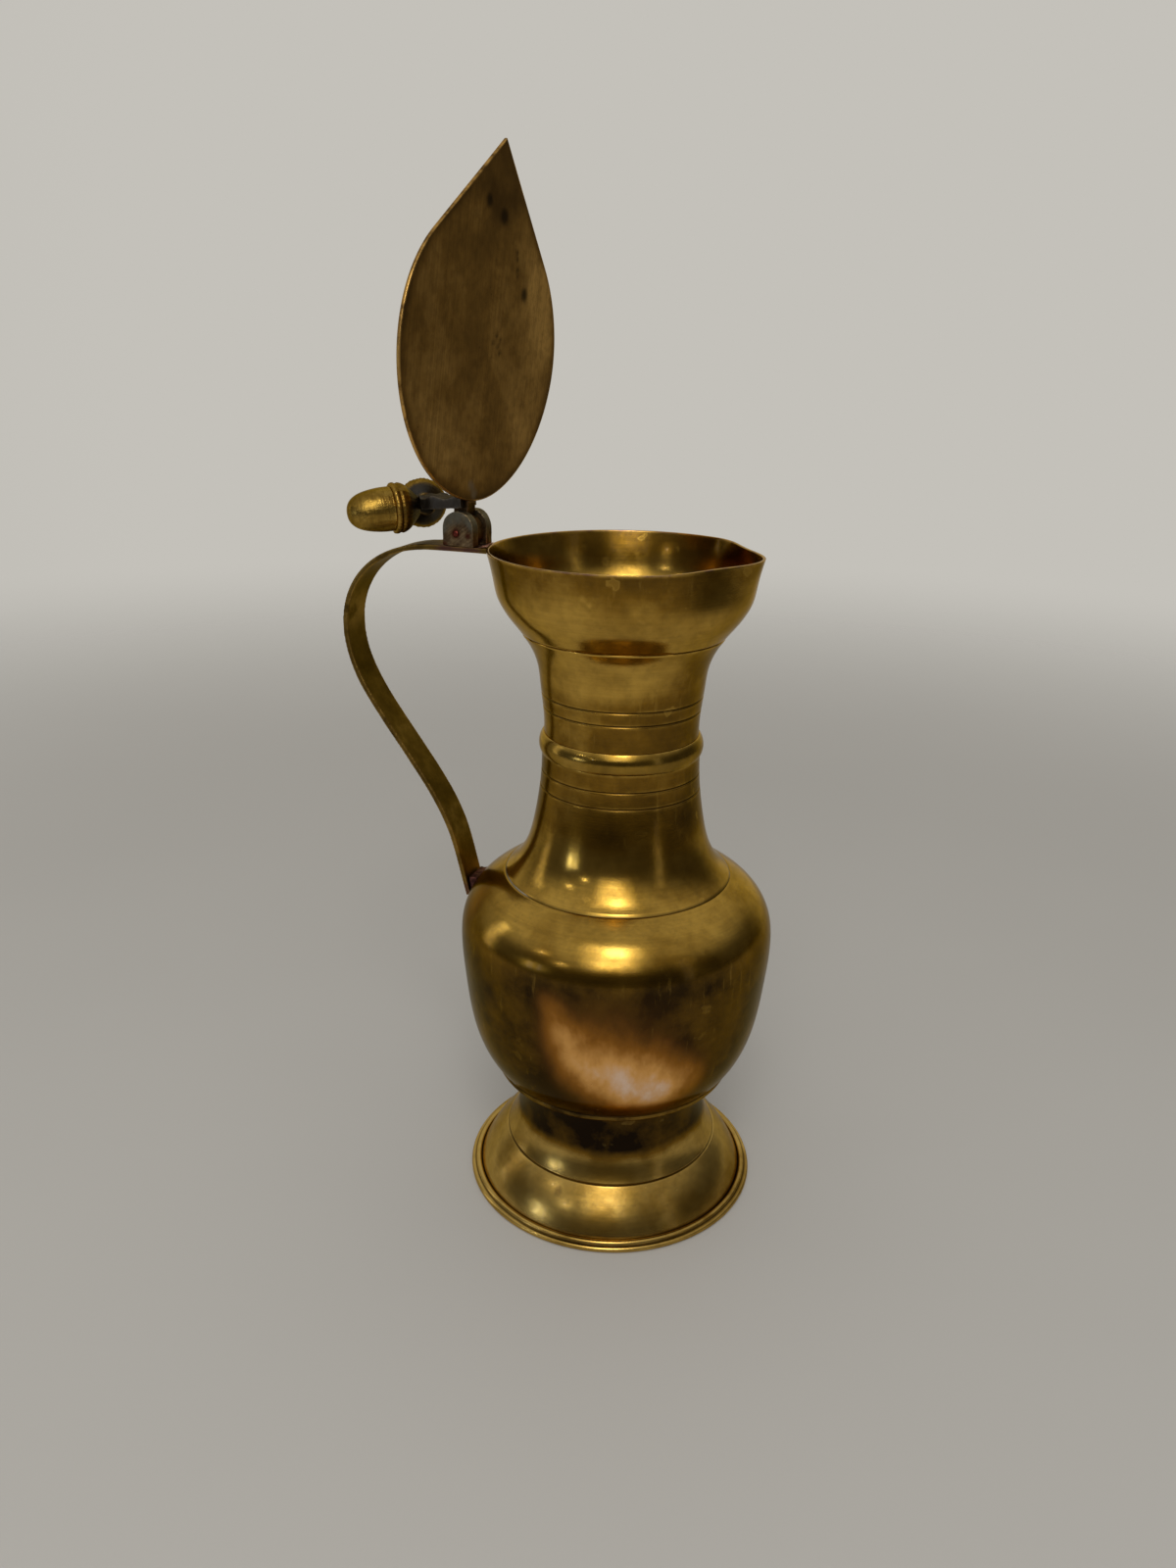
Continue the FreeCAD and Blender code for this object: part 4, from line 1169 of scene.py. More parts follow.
    def build(self) -> None:
        """Spin the two necks and the collar, paint shade and a highlight on the necks and fit them."""
        lower = spin(self.lower_outline(), COLUMNS, PLAY)
        # Painted shade: the lower neck darkens up from its seam towards the collar, partly tarnish
        start = self.seam_height + self.painted_band_rise
        dark = eased(lower.height, start, start + self.painted_band_rise)
        lower.masks[Mask.AGE] = self.clean_age + self.dark_gain * dark
        reach = 2 * self.bevel
        seam = (lower.height < self.seam_height + reach) & (lower.radius > self.seam_radius - reach)
        lower.masks[Mask.TINT] = seam * lower.marked(self.residue)
        lower.deepen(Mask.GRIME, self.seam_dirt * seam)
        fit(lower.piece("spun_lower_neck", NECK_BRASS), Body.VESSEL, "lower_neck")
        collar = spin(self.collar_outline(), COLUMNS, PLAY)
        fit(collar.piece("turned_collar", COLLAR_BRASS), Body.VESSEL, "collar")
        upper = spin(self.upper_outline(), COLUMNS, PLAY)
        # Painted highlight: the upper neck's front below the cup line is kept bright, a reflection of the lit
        # shoulder painted into the colour
        flare = self.line_height - self.painted_band_rise
        front = np.exp(-((upper.turn_deg - self.front_deg) / self.front_spread_deg) ** 2)
        highlight = front * eased(upper.height, flare - self.painted_band_rise / 2, flare)
        upper.masks[Mask.AGE] = MIDDLE_AGE * (1 - highlight)
        upper.deepen(Mask.WEAR, upper.marked(self.rubbed))
        fit(upper.piece("spun_upper_neck", NECK_BRASS), Body.VESSEL, "upper_neck")


@dataclass
class MouthCup:
    """Thin cup, drawn in on both sides of a pouring point."""

    wall: float = 1.5
    rim_wall: float = 1.0
    bevel: float = 0.4
    land: float = 2.2
    line_radius: float = 36.0
    rim_radius: float = 48.0
    pinch: float = 4.3
    half_angle_deg: float = 64.0
    start_share: float = 0.2
    pinch_power: float = 1.5
    # Painted highlight and shade: the least tarnish at the cup line, and how much darker towards the rim and
    # inside
    painted_band_rise: float = 8.0
    clean_age: float = 0.05
    rim_gain: float = 0.45
    inside_gain: float = 0.1
    edge_tint: float = 0.8
    scratches: tuple[Patch, ...] = (Patch(-89.0, 242.0, 1.3, 0.8, 4), Patch(-87.0, 240.0, 1.1, 0.7, 4))
    shares: tuple[Place, ...] = ((0.107, 0.20), (0.214, 0.396), (0.32, 0.556), (0.446, 0.70), (0.607, 0.79),
                                 (0.786, 0.871))

    def __post_init__(self) -> None:
        """Take the heights of the cup line and the rim from the frame."""
        low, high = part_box("mouth_cup")
        self.line_height, self.rim_height = low.z / MM, high.z / MM

    def outline(self) -> Outline:
        """The cup's outline away from the pouring point, up the outside and down the inside."""
        made = Outline()
        line, rim = (self.line_radius, self.line_height), (self.rim_radius, self.rim_height)
        outside = flowing(between(line, rim, self.shares), made.step)
        rise = (outside[:, 1] - self.line_height) / (self.rim_height - self.line_height)
        inside = outside.copy()
        inside[:, 0] -= (self.wall + rise * (self.rim_wall - self.wall)) / headings(outside)[:, 1]
        inside = inside[::-1]
        inside[-1] = (self.line_radius - self.land, self.line_height)
        outside = outside[outside[:, 1] > self.line_height + self.bevel]
        bevel = (self.line_radius - self.bevel, self.line_height)
        made.line(bevel, tuple(outside[0])).curve(outside).line(rim, tuple(inside[0])).curve(inside)
        made.line(tuple(inside[-1]), bevel)
        return made.close()

    def drawn(self, angle: np.ndarray, height: np.ndarray) -> np.ndarray:
        """How far the cup is drawn in.

        Args:
            angle: turn from the pouring point.
            height: height above the table.

        Returns:
            Distances inwards.
        """
        away = np.abs(np.remainder(angle + math.pi, FULL_TURN) - math.pi)
        turn = np.minimum(away / math.radians(self.half_angle_deg), 1)
        share = (height - self.line_height) / (self.rim_height - self.line_height)
        rise = np.clip((share - self.start_share) / (1 - self.start_share), 0, 1)
        return PLAY(angle, height) + self.pinch * rise ** self.pinch_power * np.sin(math.pi * turn) ** 2

    def build(self) -> None:
        """Spin the cup, pinch its rim, paint its highlight and shade and fit it."""
        sheet = spin(self.outline(), COLUMNS, self.drawn)
        sheet.masks[Mask.TINT] = self.edge_tint * (sheet.height > self.rim_height - self.bevel)
        # Painted highlight and shade: bright just above the cup line, a reflection of the lit shoulder
        # painted into the colour, darker towards the rim, partly tarnish, and a little darker inside
        rim_spot = sheet.bench[np.argmax(sheet.height), 2]
        inside = eased(sheet.bench[:, 2], rim_spot, rim_spot + self.rim_wall)
        dull = eased(sheet.height, self.line_height + self.painted_band_rise, self.rim_height)
        sheet.masks[Mask.AGE] = self.clean_age + self.rim_gain * dull + self.inside_gain * inside
        sheet.deepen(Mask.WEAR, sheet.marked(self.scratches) * (1 - inside))
        fit(sheet.piece("spun_mouth_cup", CUP_BRASS), Body.VESSEL, "mouth_cup")


@dataclass
class Handle:
    """Bent strap, with the filler that holds it at the rim and at the shoulder."""

    strap_wear: Wear = Wear(0.35, 3, 0.12, 14.0)
    braze_wear: Wear = Wear(0.18, 6, 0.25, 1.6)
    residue_height: float = 12.0
    dark_height: float = 70.0
    level_run: float = 9.8
    pin_rise: float = 4.4
    thickness: float = 2.0
    foot_reach: float = 58.81
    foot_height: float = 112.5
    bow: float = 48.4
    shares: tuple[Place, ...] = ((0.591, 0.977), (0.863, 0.905), (0.989, 0.80), (0.938, 0.657),
                                 (0.726, 0.522), (0.430, 0.373), (0.152, 0.20), (0.070, 0.10))
    sample: float = 0.4
    parts: int = 64
    average: int = 5
    free_ends: tuple[float, float] = (4.0, 14.0)
    rubbed_height: float = 221.0
    rubbed_size: float = 7.0
    rubbed_share: float = 0.5
    clean_age: float = 0.35
    dark_gain: float = 0.3

    def middle_line(self) -> np.ndarray:
        """Samples of the strap's middle line in reach and height, from the level run down to the belly."""
        pin = Vector(JOINT["pos_m"]) / MM
        top = pin.z - self.pin_rise - self.thickness / 2
        points = [(pin.x - self.level_run, top)]
        points += [(-self.foot_reach - self.bow * reach, self.foot_height + (top - self.foot_height) * level)
                   for reach, level in self.shares]
        points.append((-self.foot_reach, self.foot_height))
        return flowing(points, self.sample, (-1.0, 0.0), towards(points[-2], points[-1]))

    def trued(self, strap: Sheet) -> None:
        """Move the strap's copy on to its middle line, which the solid's long flat facets cut across.

        Args:
            strap: the copy, which is changed in place.
        """
        line = self.middle_line()
        spots, across = run_lengths(line), leftward(headings(line))
        places = strap.vertices[:, [0, 2]] / MM
        near = np.concatenate([np.argmin(((part[:, None] - line[None]) ** 2).sum(-1), axis=1)
                               for part in np.array_split(places, self.parts)])
        off = np.sum((places - line[near]) * across[near], axis=1)
        high, low = np.full(len(line), -self.thickness), np.full(len(line), self.thickness)
        np.maximum.at(high, near, off)
        np.minimum.at(low, near, off)
        middle = (high + low) / 2
        padded = np.pad(middle, self.average // 2, mode="edge")
        smooth = np.convolve(padded, np.full(self.average, 1 / self.average), mode="valid")
        start, end = self.free_ends
        share = eased(spots, start, 2 * start) * eased(spots, spots[-1] - start, spots[-1] - end)
        strap.vertices[:, [0, 2]] += -(share * smooth)[near][:, None] * across[near] * MM
        LOG.info("strap moved by up to %.2f mm", np.abs(share * smooth).max())

    def build(self) -> None:
        """Copy the strap and both runs of filler and fit them."""
        strap = worn_copy("handle_strap", self.strap_wear)
        self.trued(strap)
        pin = Vector(JOINT["pos_m"]) / MM
        beside = np.abs(strap.vertices[:, 0] / MM - pin.x) * (strap.height > pin.z - 2 * self.pin_rise)
        beside[strap.height <= pin.z - 2 * self.pin_rise] = self.residue_height
        strap.masks[Mask.TINT] = np.maximum(
            eased(strap.height, self.foot_height + self.residue_height, self.foot_height),
            eased(beside, self.residue_height, self.residue_height / 2))
        dark = eased(strap.height, self.foot_height, self.foot_height + self.dark_height)
        strap.masks[Mask.AGE] = self.clean_age + self.dark_gain * dark
        rubbed = np.exp(-((strap.height - self.rubbed_height) / self.rubbed_size) ** 2)
        strap.deepen(Mask.WEAR, self.rubbed_share * rubbed)
        fit(strap.piece("bent_strap", STRAP_BRASS), Body.VESSEL, "handle_strap")
        for node, finish in (("rim_braze", RIM_BRAZE), ("shoulder_braze", SHOULDER_BRAZE)):
            filler = worn_copy(node, self.braze_wear)
            fit(filler.piece("run_" + node, finish), Body.VESSEL, node)


@dataclass
class Hinge:
    """Two ears on the strap, the knuckle between them and the pin through all three."""

    ear_wear: Wear = Wear(0.16, 4, 0.12, 2.5)
    knuckle_wear: Wear = Wear(0.22, 3, 0.1, 2.5)
    pin_columns: int = 48
    pin_radius: float = 1.15
    pin_reach: float = 7.0
    dome: float = 0.35
    open_deg: float = 86.0
    patina_middle: Place = (1.5, -2.0)
    patina_ring: Place = (3.0, 7.5)
    patina_rise: Place = (-4.0, 2.0)
    copper: tuple[Patch, ...] = (Patch(0.0, 0.0, 1.9, 0.9, 4), Patch(5.0, -0.5, 1.1, 0.8, 4),
                                 Patch(-4.6, -4.2, 1.4, 0.8, 4), Patch(3.0, -6.0, 1.0, 0.5, 4))

    def __post_init__(self) -> None:
        """Take the pin's place and lie from the frame."""
        axis = Vector(JOINT["axis"])
        skew = Matrix.Rotation(-math.atan2(axis.x, axis.y), 4, "Z")
        middle = Matrix.Translation(Vector(JOINT["pos_m"]))
        swing = Matrix.Rotation(-math.radians(self.open_deg), 4, axis)
        self.opening = middle @ swing @ middle.inverted()
        self.still = middle @ skew
        self.swung = self.opening @ self.still

    def pin_outline(self) -> Outline:
        """The pin's outline, with its two hammered ends."""
        flat = self.pin_reach - self.dome
        made = Outline(step=0.2, ease=0.1)
        made.arc((0.0, -self.pin_reach), (0.75 * self.pin_radius, -self.pin_reach + 0.3 * self.dome),
                 (self.pin_radius, -flat))
        made.line((self.pin_radius, -flat), (self.pin_radius, flat))
        made.arc((self.pin_radius, flat), (0.75 * self.pin_radius, self.pin_reach - 0.3 * self.dome),
                 (0.0, self.pin_reach))
        return made.close()

    def build(self) -> None:
        """Copy the ears and the knuckle, turn the pin and fit them."""
        for node in ("front_hinge_ear", "rear_hinge_ear"):
            ear = worn_copy(node, self.ear_wear, self.still)
            across, level = ear.bench[:, 0], ear.bench[:, 2]
            away = np.hypot(across - self.patina_middle[0], level - self.patina_middle[1])
            ear.masks[Mask.TINT] = eased(away, *self.patina_ring) * eased(level, *self.patina_rise)
            ear.masks[Mask.GRIME] /= 2
            ear.deepen(Mask.GRIME, cover(self.copper, across, level))
            fit(ear.piece("filed_" + node, EAR_BRASS), Body.VESSEL, node)
        knuckle = worn_copy("lid_knuckle", self.knuckle_wear, self.swung)
        fit(knuckle.piece("filed_knuckle", KNUCKLE_BRASS), Body.LID, "lid_knuckle")
        across = self.still @ Matrix.Rotation(-math.pi / 2, 4, "X")
        pin = spin(self.pin_outline(), self.pin_columns, None, across)
        fit(pin.piece("riveted_pin", PIN_COPPER), Body.VESSEL, "hinge_pin")


@dataclass
class Lid:
    """Flat leaf-shaped lid, cut by hand from sheet."""

    hinge: Hinge
    thickness: float = 1.3
    rim_radius: float = 48.0
    gap: float = 0.3
    rim_height: float = 250.0
    near_overhang: float = 5.75
    far_overhang: float = 3.0
    far_trim: float = 1.2
    back_overhang: float = 1.3
    tip_overhang: float = 18.5
    round_inset: float = 1.4
    edge_ease: float = 0.35
    band: float = 5.0
    clean_age: float = 0.5
    dark_gain: float = 0.45
    edge_wear: float = 0.9
    tip_dark: Place = (36.0, 46.0)
    tip_slant: float = 0.35
    spine: Place = (-0.55, 0.85)
    sample: float = 0.9
    ring_count: int = 38
    back_shares: tuple[float, ...] = (0.0, 0.33, 0.67, 1.0)
    front_shares: tuple[float, ...] = (0.5, 1.0)
    stains: tuple[Patch, ...] = (
        Patch(46.4, -7.8, 2.2, 0.9, 4), Patch(43.6, 2.9, 2.6, 0.9, 4), Patch(22.0, 22.1, 2.4, 0.9, 4),
        Patch(34.4, 14.2, 0.8, 0.8), Patch(32.3, 14.6, 1.0, 0.8), Patch(29.0, 15.2, 0.9, 0.7),
        Patch(27.0, 15.8, 0.7, 0.7), Patch(6.4, 5.0, 0.8, 0.8), Patch(4.0, 3.4, 1.0, 0.8),
        Patch(3.0, 6.4, 0.8, 0.7), Patch(1.0, 8.0, 1.0, 0.7), Patch(5.2, 7.8, 0.7, 0.7),
        Patch(-1.0, 3.2, 0.7, 0.6))
    rubbed: tuple[Patch, ...] = (Patch(23.7, 34.0, 13.0, 0.6), Patch(-33.0, -31.0, 17.0, 0.4),
                                 Patch(5.0, 38.0, 10.0, 0.5), Patch(-20.0, 24.0, 12.0, 0.3))
    solder: tuple[Patch, ...] = (Patch(-44.0, -3.0, 3.2, 0.7), Patch(-47.0, 0.0, 3.0, 0.7))

    def side(self, side: int, half: float, trim: float) -> np.ndarray:
        """One side of the lid's outline.

        Args:
            side: -1 for the near side, 1 for the far one.
            half: half width on that side.
            trim: how far it is cut in towards the back.

        Returns:
            Samples from the middle of the back to the tip.
        """
        back, front = self.rim_radius + self.back_overhang, self.rim_radius - self.round_inset
        tip = (self.rim_radius + self.tip_overhang, 0.0)
        points = []
        for share in self.back_shares:
            turn = share * math.pi / 2
            pull = trim * math.sin(2 * turn)
            points.append((-(back - pull) * math.cos(turn), side * (half - pull) * math.sin(turn)))
        for share in self.front_shares:
            turn = share * math.asin(front / tip[0])
            points.append((front * math.sin(turn), side * half * math.cos(turn)))
        curve = flowing(points, self.sample, (0.0, float(side)), towards(points[-1], tip))
        count = max(2, round(math.dist(points[-1], tip) / self.sample))
        return np.concatenate([curve[:-1], np.linspace(points[-1], tip, count + 1)])

    def build(self) -> None:
        """Draw the sheet ring by ring from its edge, stain it, swing it open and fit it."""
        near = self.side(-1, self.rim_radius + self.near_overhang, 0.0)
        far = self.side(1, self.rim_radius + self.far_overhang, self.far_trim)
        edge = np.concatenate([near, far[-2:0:-1]])
        count = len(edge)
        back, front = (share * self.rim_radius for share in self.spine)
        spine = np.stack([np.clip(edge[:, 0], back, front), np.zeros(count)], axis=1)
        inward = spine - edge
        depth = np.linalg.norm(inward, axis=1)
        inward /= depth[:, None]
        half = self.thickness / 2
        ease = self.edge_ease
        rings = [(0.0, half - ease), (0.3 * ease, half - 0.3 * ease), (ease, half), (2 * ease, half)]
        layers = [(edge + inward * inset, level, np.full(count, inset)) for inset, level in rings]
        for share in np.linspace(0, 1, self.ring_count)[1:]:
            inset = 2 * ease + share * (depth - 2 * ease)
            layers.append((edge + inward * inset[:, None], half, inset))
        flat, level, inset, faces = [], [], [], []
        for side in (1, -1):
            for place, lift, reach in layers:
                flat.append(place)
                level.append(np.full(count, side * lift))
                inset.append(reach)
        rows = len(layers)
        ids = np.arange(2 * rows * count).reshape(2 * rows, count)
        pairs = [(row, row + 1) for row in range(rows - 1)]
        pairs += [(rows + row, rows + row + 1) for row in range(rows - 1)] + [(0, rows)]
        for a, b in pairs:
            quads = np.stack([ids[a], np.roll(ids[a], -1), np.roll(ids[b], -1), ids[b]], axis=-1)
            faces.extend(quads.tolist())
        flat, level, inset = np.concatenate(flat), np.concatenate(level), np.concatenate(inset)
        height = self.rim_height + self.gap + half + level
        bench = np.stack([flat[:, 0], flat[:, 1], level], axis=1)
        along, across = flat[:, 0], flat[:, 1]
        inner = level < half
        shut = np.concatenate([flat, height[:, None]], axis=1) * MM
        dark = np.maximum(eased(inset, self.band, 0.0),
                          eased(along - self.tip_slant * np.abs(across), *self.tip_dark))
        masks = {Mask.WEAR: self.edge_wear * (inset < 1.5 * ease),
                 Mask.GRIME: inner * cover(self.stains, along, across),
                 Mask.TINT: cover(self.solder, along, across),
                 Mask.AGE: self.clean_age + self.dark_gain * dark - cover(self.rubbed, along, across)}
        sheet = Sheet(moved(shut, self.hinge.opening), faces, bench, masks)
        fit(sheet.piece("sheet_lid", LID_BRASS), Body.LID, "lid_plate")


@dataclass
class Thumbpiece:
    """Plate behind the lid that carries two acorns."""

    hinge: Hinge
    plate_standoff: float = 8.64
    plate_thickness: float = 2.8
    droop_deg: float = 10.0
    fork_height: float = 16.2
    fork_gap: float = 0.46
    spread_deg: float = 48.0
    back_radius: float = 3.6
    cup_length: float = 9.6
    cup_lip: float = 1.25
    edge_round: float = 0.9
    nut_radius: float = 7.8
    nut_length: float = 15.8
    blunt_share: float = 0.78
    shank_step: float = 1.8
    shank_length: float = 3.4
    sleeve_fit: float = 0.02
    plate_wear: Wear = Wear(0.2, 4, 0.2, 2.2)
    solder_depth: float = 2.0
    solder_tint: float = 0.9
    solder_rise: Place = (0.5, 0.8)
    lip_share: float = 0.76
    lip_width: float = 0.05
    lip_groove: float = 0.4
    stripes: int = 34
    stripe_depth: float = 0.2
    rag_depth: float = 0.3
    dent_depth: float = 0.08
    cup_columns: int = 136
    nut_columns: int = 112
    dome_steps: int = 44
    cup_solder_and_shade: Place = (0.9, 0.3)
    cup_shares: tuple[Place, ...] = ((0.16, 0.28), (0.41, 0.68), (0.66, 0.93))

    def place(self, side: int) -> Matrix:
        """Where an acorn's own axis lies, on one side of the fork."""
        middle = self.plate_standoff + self.plate_thickness / 2
        foot = Matrix.Translation(Vector((middle, 0, 0)) * MM)
        droop = foot @ Matrix.Rotation(-math.radians(self.droop_deg), 4, "Y") @ foot.inverted()
        fork = Matrix.Translation(Vector((middle, 0, self.fork_height)) * MM)
        lean = Matrix.Rotation(-side * math.radians(self.spread_deg), 4, "X")
        return self.hinge.swung @ droop @ fork @ lean

    @property
    def seat(self) -> float:
        """How far an acorn's flat back is from the fork."""
        return self.back_radius / math.tan(math.radians(self.spread_deg)) + self.fork_gap

    def cup_outline(self) -> Outline:
        """The cup's outline, from the middle of its back round its lip into its socket."""
        front = self.seat + self.cup_length
        radius = self.nut_radius + self.cup_lip
        back, lip = (self.back_radius, self.seat), (radius, front - self.edge_round)
        turn = self.edge_round * (1 - math.sqrt(0.5))
        socket, floor = self.nut_radius - self.shank_step + self.sleeve_fit, front - self.shank_length
        made = Outline(step=0.35)
        made.line((0.0, self.seat), back).curve(flowing(between(back, lip, self.cup_shares), made.step))
        made.arc(lip, (radius - turn, front - turn), (radius - self.edge_round, front))
        made.line((radius - self.edge_round, front), (socket, front), (socket, floor), (0.0, floor))
        return made.close()

    def nut_outline(self) -> Outline:
        """The nut's outline, from the end of its shank over its dome to its tip."""
        front = self.seat + self.cup_length
        shank = self.nut_radius - self.shank_step
        turn = np.linspace(0, math.pi / 2, self.dome_steps)
        wide, long = np.cos(turn) ** self.blunt_share, np.sin(turn) ** self.blunt_share
        dome = np.stack([self.nut_radius * wide, front + self.nut_length * long], axis=1)
        dome[-1, 0] = 0
        made = Outline(step=0.4)
        made.line((0.0, front - self.shank_length), (shank, front - self.shank_length), (shank, front),
                  (self.nut_radius, front)).curve(dome)
        return made.close()

    def scraped(self, angle: np.ndarray, height: np.ndarray) -> np.ndarray:
        """How far the cup's side is scraped in.

        Args:
            angle: turn about the acorn's axis.
            height: distance along it.

        Returns:
            Distances inwards.
        """
        along = np.clip((height - self.seat) / self.cup_length, 0, 1)
        ridges = 0.5 + 0.5 * np.cos(self.stripes * angle + 2.5 * np.sin(3 * angle) + 1.2 * along)
        ragged = 0.5 + 0.3 * np.cos(7 * angle + 1) + 0.2 * np.cos(13 * angle + 2)
        groove = self.lip_groove * np.exp(-((along - self.lip_share) / self.lip_width) ** 2)
        return self.stripe_depth * ridges * along + self.rag_depth * ragged * along ** 3 + groove

    def hammered(self, angle: np.ndarray, height: np.ndarray) -> np.ndarray:
        """How far the nut's side is drawn in, at each turn about its axis and distance along it."""
        return self.dent_depth * (1 + np.cos(2 * angle + height / 5) * np.cos(height / 3 + 1))

    def build(self) -> None:
        """Copy the plate, turn the acorns and fit them."""
        plate = worn_copy("thumb_plate", self.plate_wear, self.hinge.swung)
        middle, level = self.plate_standoff + self.plate_thickness / 2, plate.bench[:, 2]
        depth = plate.bench[:, 0] + level * math.tan(math.radians(self.droop_deg))
        face = eased(depth, middle, middle + self.plate_thickness / 2)
        lump = 0.75 + 0.35 * eased(level, *(share * self.fork_height for share in self.solder_rise))
        uneven = 0.8 + 0.3 * np.sin(1.1 * plate.bench[:, 1] + 0.7 * level)
        up = np.array(self.hinge.swung.to_3x3())[:, 0]
        plate.vertices += (self.solder_depth * MM * face * lump * uneven)[:, None] * up
        plate.masks[Mask.TINT] = np.full(len(plate.vertices), self.solder_tint)
        fit(plate.piece("soldered_thumb_plate", PLATE_BRASS), Body.LID, "thumb_plate")
        for name, side in (("front", -1), ("rear", 1)):
            place = self.place(side)
            cup = spin(self.cup_outline(), self.cup_columns, self.scraped, place)
            # The back of each cup is dark grey: solder, and painted shade for the back that faces away from
            # the light
            ends = (self.seat + share * self.cup_length for share in self.cup_solder_and_shade)
            cup.masks[Mask.TINT] = eased(cup.bench[:, 2], *ends)
            fit(cup.piece(f"{name}_acorn_cup_scraped", ACORN_CUP_BRASS), Body.LID,
                f"{name}_acorn_cup")
            nut = spin(self.nut_outline(), self.nut_columns, self.hammered, place)
            fit(nut.piece(f"{name}_acorn_nut_polished", ACORN_NUT_BRASS), Body.LID,
                f"{name}_acorn_nut")


@dataclass(frozen=True)
class Lamp:
    """One flat lamp: where it hangs, the point that it faces, its size and how bright its face is.

    A radiance of 1 is white. Lengths are in millimetres.
    """

    name: str
    place: tuple[float, float, float]
    aim: tuple[float, float, float]
    size: tuple[float, float]
    radiance: float
    colour: str = "#FFFFFF"

    def hang(self) -> None:
        """Hang the lamp."""
        lamp = bpy.data.lights.new(self.name, "AREA")
        lamp.shape = "RECTANGLE"
        lamp.size, lamp.size_y = self.size[0] * MM, self.size[1] * MM
        lamp.energy = self.radiance * math.pi * lamp.size * lamp.size_y
        lamp.color = linear(self.colour)[:3]
        hung = stand(self.name, lamp)
        hung.location = Vector(self.place) * MM
        away = Vector(self.place) - Vector(self.aim)
        hung.rotation_euler = away.to_track_quat("Z", "Y").to_euler()


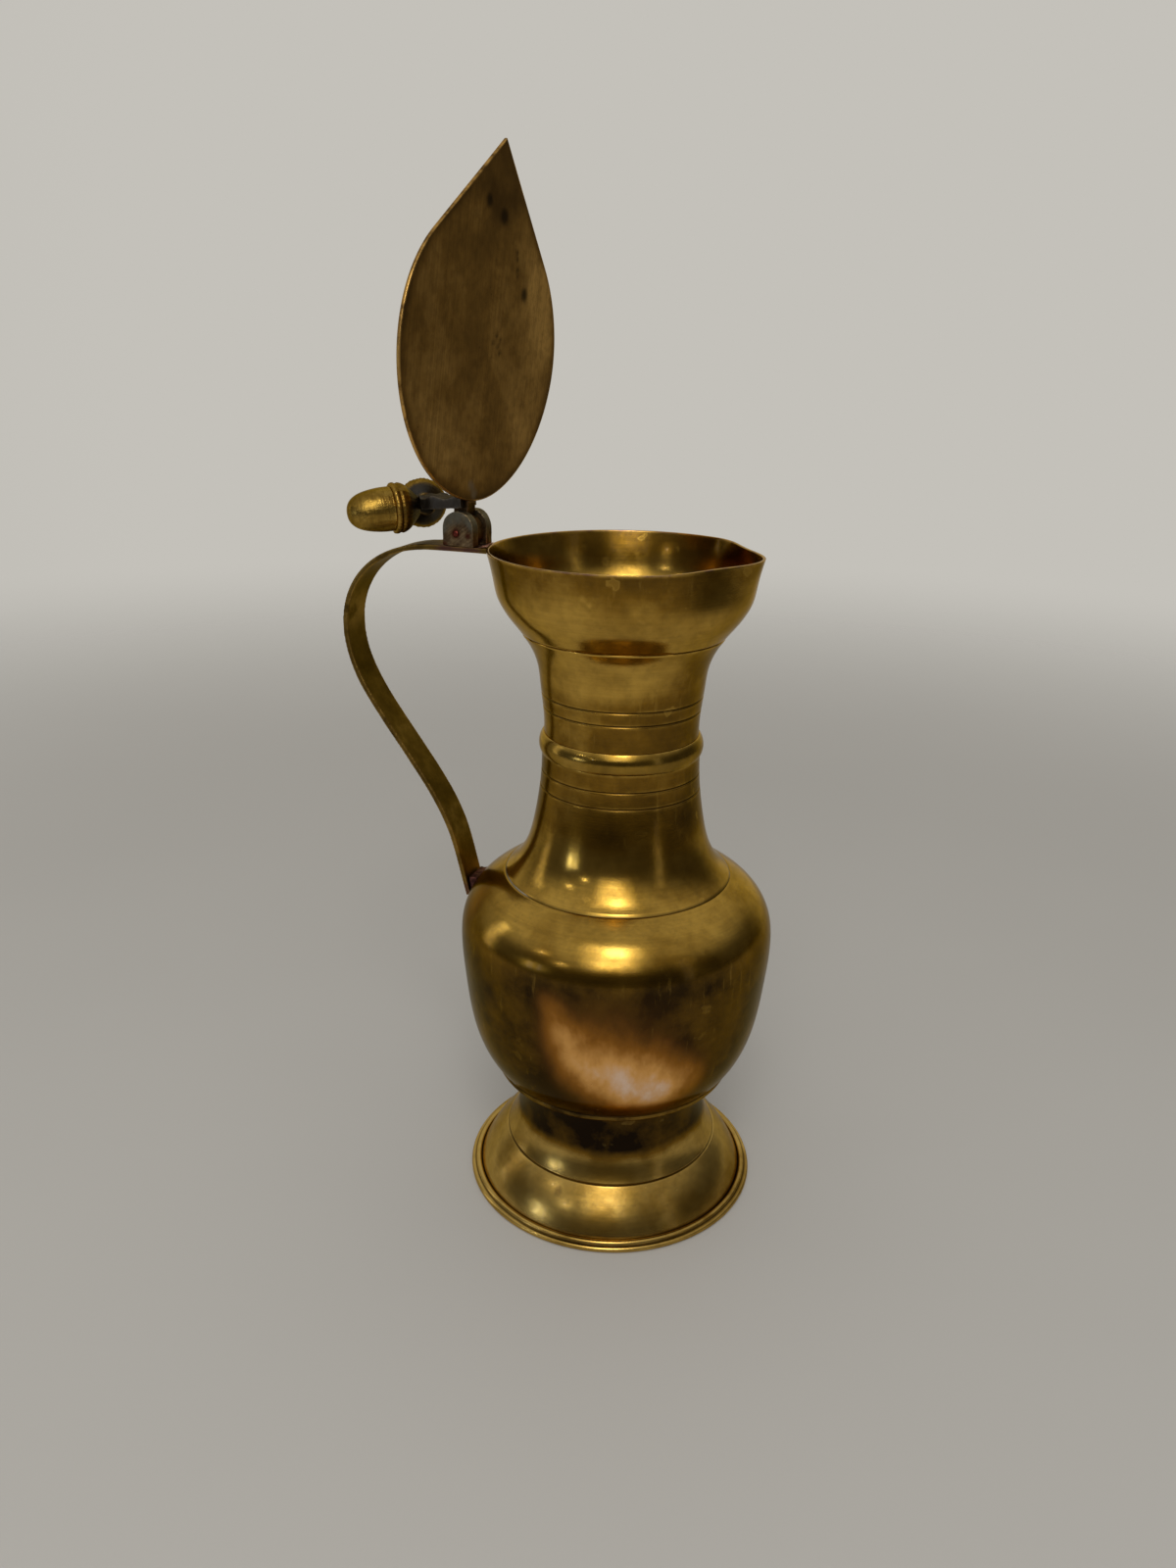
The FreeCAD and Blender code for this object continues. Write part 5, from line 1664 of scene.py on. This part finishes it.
@dataclass
class Studio:
    """Plain pale floor, soft light and the camera of the photograph."""

    floor_radius: float = 2600.0
    floor_sides: int = 96
    floor_roughness: float = 0.7
    floor_fade: tuple[float, float] = (420.0, 1500.0)
    floor_colour: str = "#CBC8C2"
    floor_cloud: str = "#C5C2BC"
    cloud_size: float = 260.0
    room_dark: str = "#504E4B"
    room_pale: str = "#C4C1BA"
    room_above: str = "#BAB8B4"
    behind_span: Place = (-0.25, 0.8)
    aside_span: Place = (0.75, 0.2)
    above_span: Place = (0.2, 0.75)
    lamps: tuple[Lamp, ...] = (
        Lamp("softbox_wide", (200, -800, 900), (0, 0, 120), (700, 950), 0.95),
        Lamp("softbox_middle", (200, -760, 920), (0, 0, 120), (430, 640), 1.5),
        Lamp("softbox_core", (202, -640, 1050), (0, 0, 120), (230, 280), 5.2),
        Lamp("softbox_low", (190, -910, 640), (0, 0, 120), (200, 170), 1.6),
        Lamp("strip_left", (-900, -120, 330), (0, 0, 150), (150, 620), 0.9),
        Lamp("strip_right", (880, -360, 330), (0, 0, 150), (130, 620), 0.45),
        Lamp("window_low", (-820, -880, 230), (0, 0, 120), (110, 210), 4.0, "#DCE8FF"),
        Lamp("window_high", (-700, -980, 240), (0, 0, 120), (60, 190), 4.0, "#DCE8FF"),
        Lamp("spot_left", (-640, -740, 700), (0, 0, 120), (24, 24), 50.0),
        Lamp("spot_middle", (-400, -1000, 560), (0, 0, 120), (24, 24), 50.0))
    stand_off: float = 404.9
    eye_height: float = 315.55
    part_turn_deg: float = 17.0
    yaw_deg: float = -1.656
    pitch_deg: float = 20.46
    roll_deg: float = 1.003
    focal_px: float = 1200.6
    frame_height_px: float = 1600.0
    sensor: float = 36.0
    clip: Place = (0.01, 50.0)

    def lay_floor(self) -> None:
        """Round pale floor, with a faint cloud in its colour, that fades into the room."""
        form = bmesh.new()
        bmesh.ops.create_circle(form, cap_ends=True, radius=self.floor_radius * MM,
                              segments=self.floor_sides)
        mesh = bpy.data.meshes.new("floor")
        form.to_mesh(mesh)
        form.free()
        paint = bpy.data.materials.new("matt_painted_board")
        tree = empty_tree(paint)
        place = add_node(tree, "NewGeometry", out="Position")
        cloud = add_node(tree, "TexNoise", {"Vector": place, "Scale": 1 / (self.cloud_size * MM)})
        colour = add_node(tree, "MixRGB", {"Fac": cloud, "Color1": linear(self.floor_colour),
                                           "Color2": linear(self.floor_cloud)})
        board = add_node(tree, "BsdfPrincipled", {"Base Color": colour, "Roughness": self.floor_roughness})
        reach = add_node(tree, "VectorMath", {0: place}, "Value", operation="LENGTH")
        fade = add_node(tree, "MapRange", {"Value": reach, "From Min": self.floor_fade[0] * MM,
                                           "From Max": self.floor_fade[1] * MM}, **SMOOTH)
        clear = add_node(tree, "BsdfTransparent")
        faded = add_node(tree, "MixShader", {0: fade, 1: board, 2: clear})
        add_node(tree, "OutputMaterial", {"Surface": faded})
        mesh.materials.append(paint)
        stand("floor", mesh)

    def light(self) -> None:
        """Hang the lamps and paint the room: pale behind and above, darker round the camera."""
        for lamp in self.lamps:
            lamp.hang()
        world = bpy.data.worlds.new("room")
        bpy.context.scene.world = world
        tree = empty_tree(world)
        way = add_node(tree, "TexCoord", out="Generated")
        split = add_node(tree, "SeparateXYZ", {0: way}).node
        spans = {"Y": self.behind_span, "X": self.aside_span, "Z": self.above_span}
        behind, aside, above = (
            add_node(tree, "MapRange", {"Value": split.outputs[axis], "From Min": low, "From Max": high},
                     **SMOOTH) for axis, (low, high) in spans.items())
        pale = add_node(tree, "Math", {0: behind, 1: aside}, operation="MULTIPLY")
        walls = add_node(tree, "MixRGB", {"Fac": pale, "Color1": linear(self.room_dark),
                                          "Color2": linear(self.room_pale)})
        room = add_node(tree, "MixRGB", {"Fac": above, "Color1": walls, "Color2": linear(self.room_above)})
        add_node(tree, "OutputWorld", {"Surface": add_node(tree, "Background", {"Color": room})})

    def set_camera(self) -> None:
        """Stand the camera where the photograph was taken from."""
        lens = bpy.data.cameras.new("camera")
        lens.sensor_fit = "VERTICAL"
        lens.sensor_height = self.sensor
        lens.lens = self.sensor * self.focal_px / self.frame_height_px
        lens.clip_start, lens.clip_end = self.clip
        camera = stand("camera", lens)
        turn = Matrix.Rotation(math.radians(self.part_turn_deg), 4, "Z")
        look = (Matrix.Rotation(math.radians(self.part_turn_deg - self.yaw_deg), 4, "Z")
                @ Matrix.Rotation(math.radians(90 - self.pitch_deg), 4, "X")
                @ Matrix.Rotation(math.radians(self.roll_deg), 4, "Z"))
        eye = turn @ Vector((0, -self.stand_off, self.eye_height)) * MM
        camera.matrix_world = Matrix.Translation(eye) @ look
        bpy.context.scene.camera = camera

    def build(self) -> None:
        """Lay the floor, hang the lamps and set the camera."""
        self.lay_floor()
        self.light()
        self.set_camera()
        bpy.context.scene.view_settings.view_transform = "Standard"


def main() -> None:
    """Build every sub-assembly in order, then the studio."""
    logging.basicConfig(level=logging.INFO, format="%(message)s")
    hinge = Hinge()
    for assembly in (Foot(), Belly(), Neck(), MouthCup(), Handle(), hinge, Lid(hinge), Thumbpiece(hinge),
                     Studio()):
        assembly.build()
        LOG.info("%s done", type(assembly).__name__)


if __name__ == "__main__":
    main()
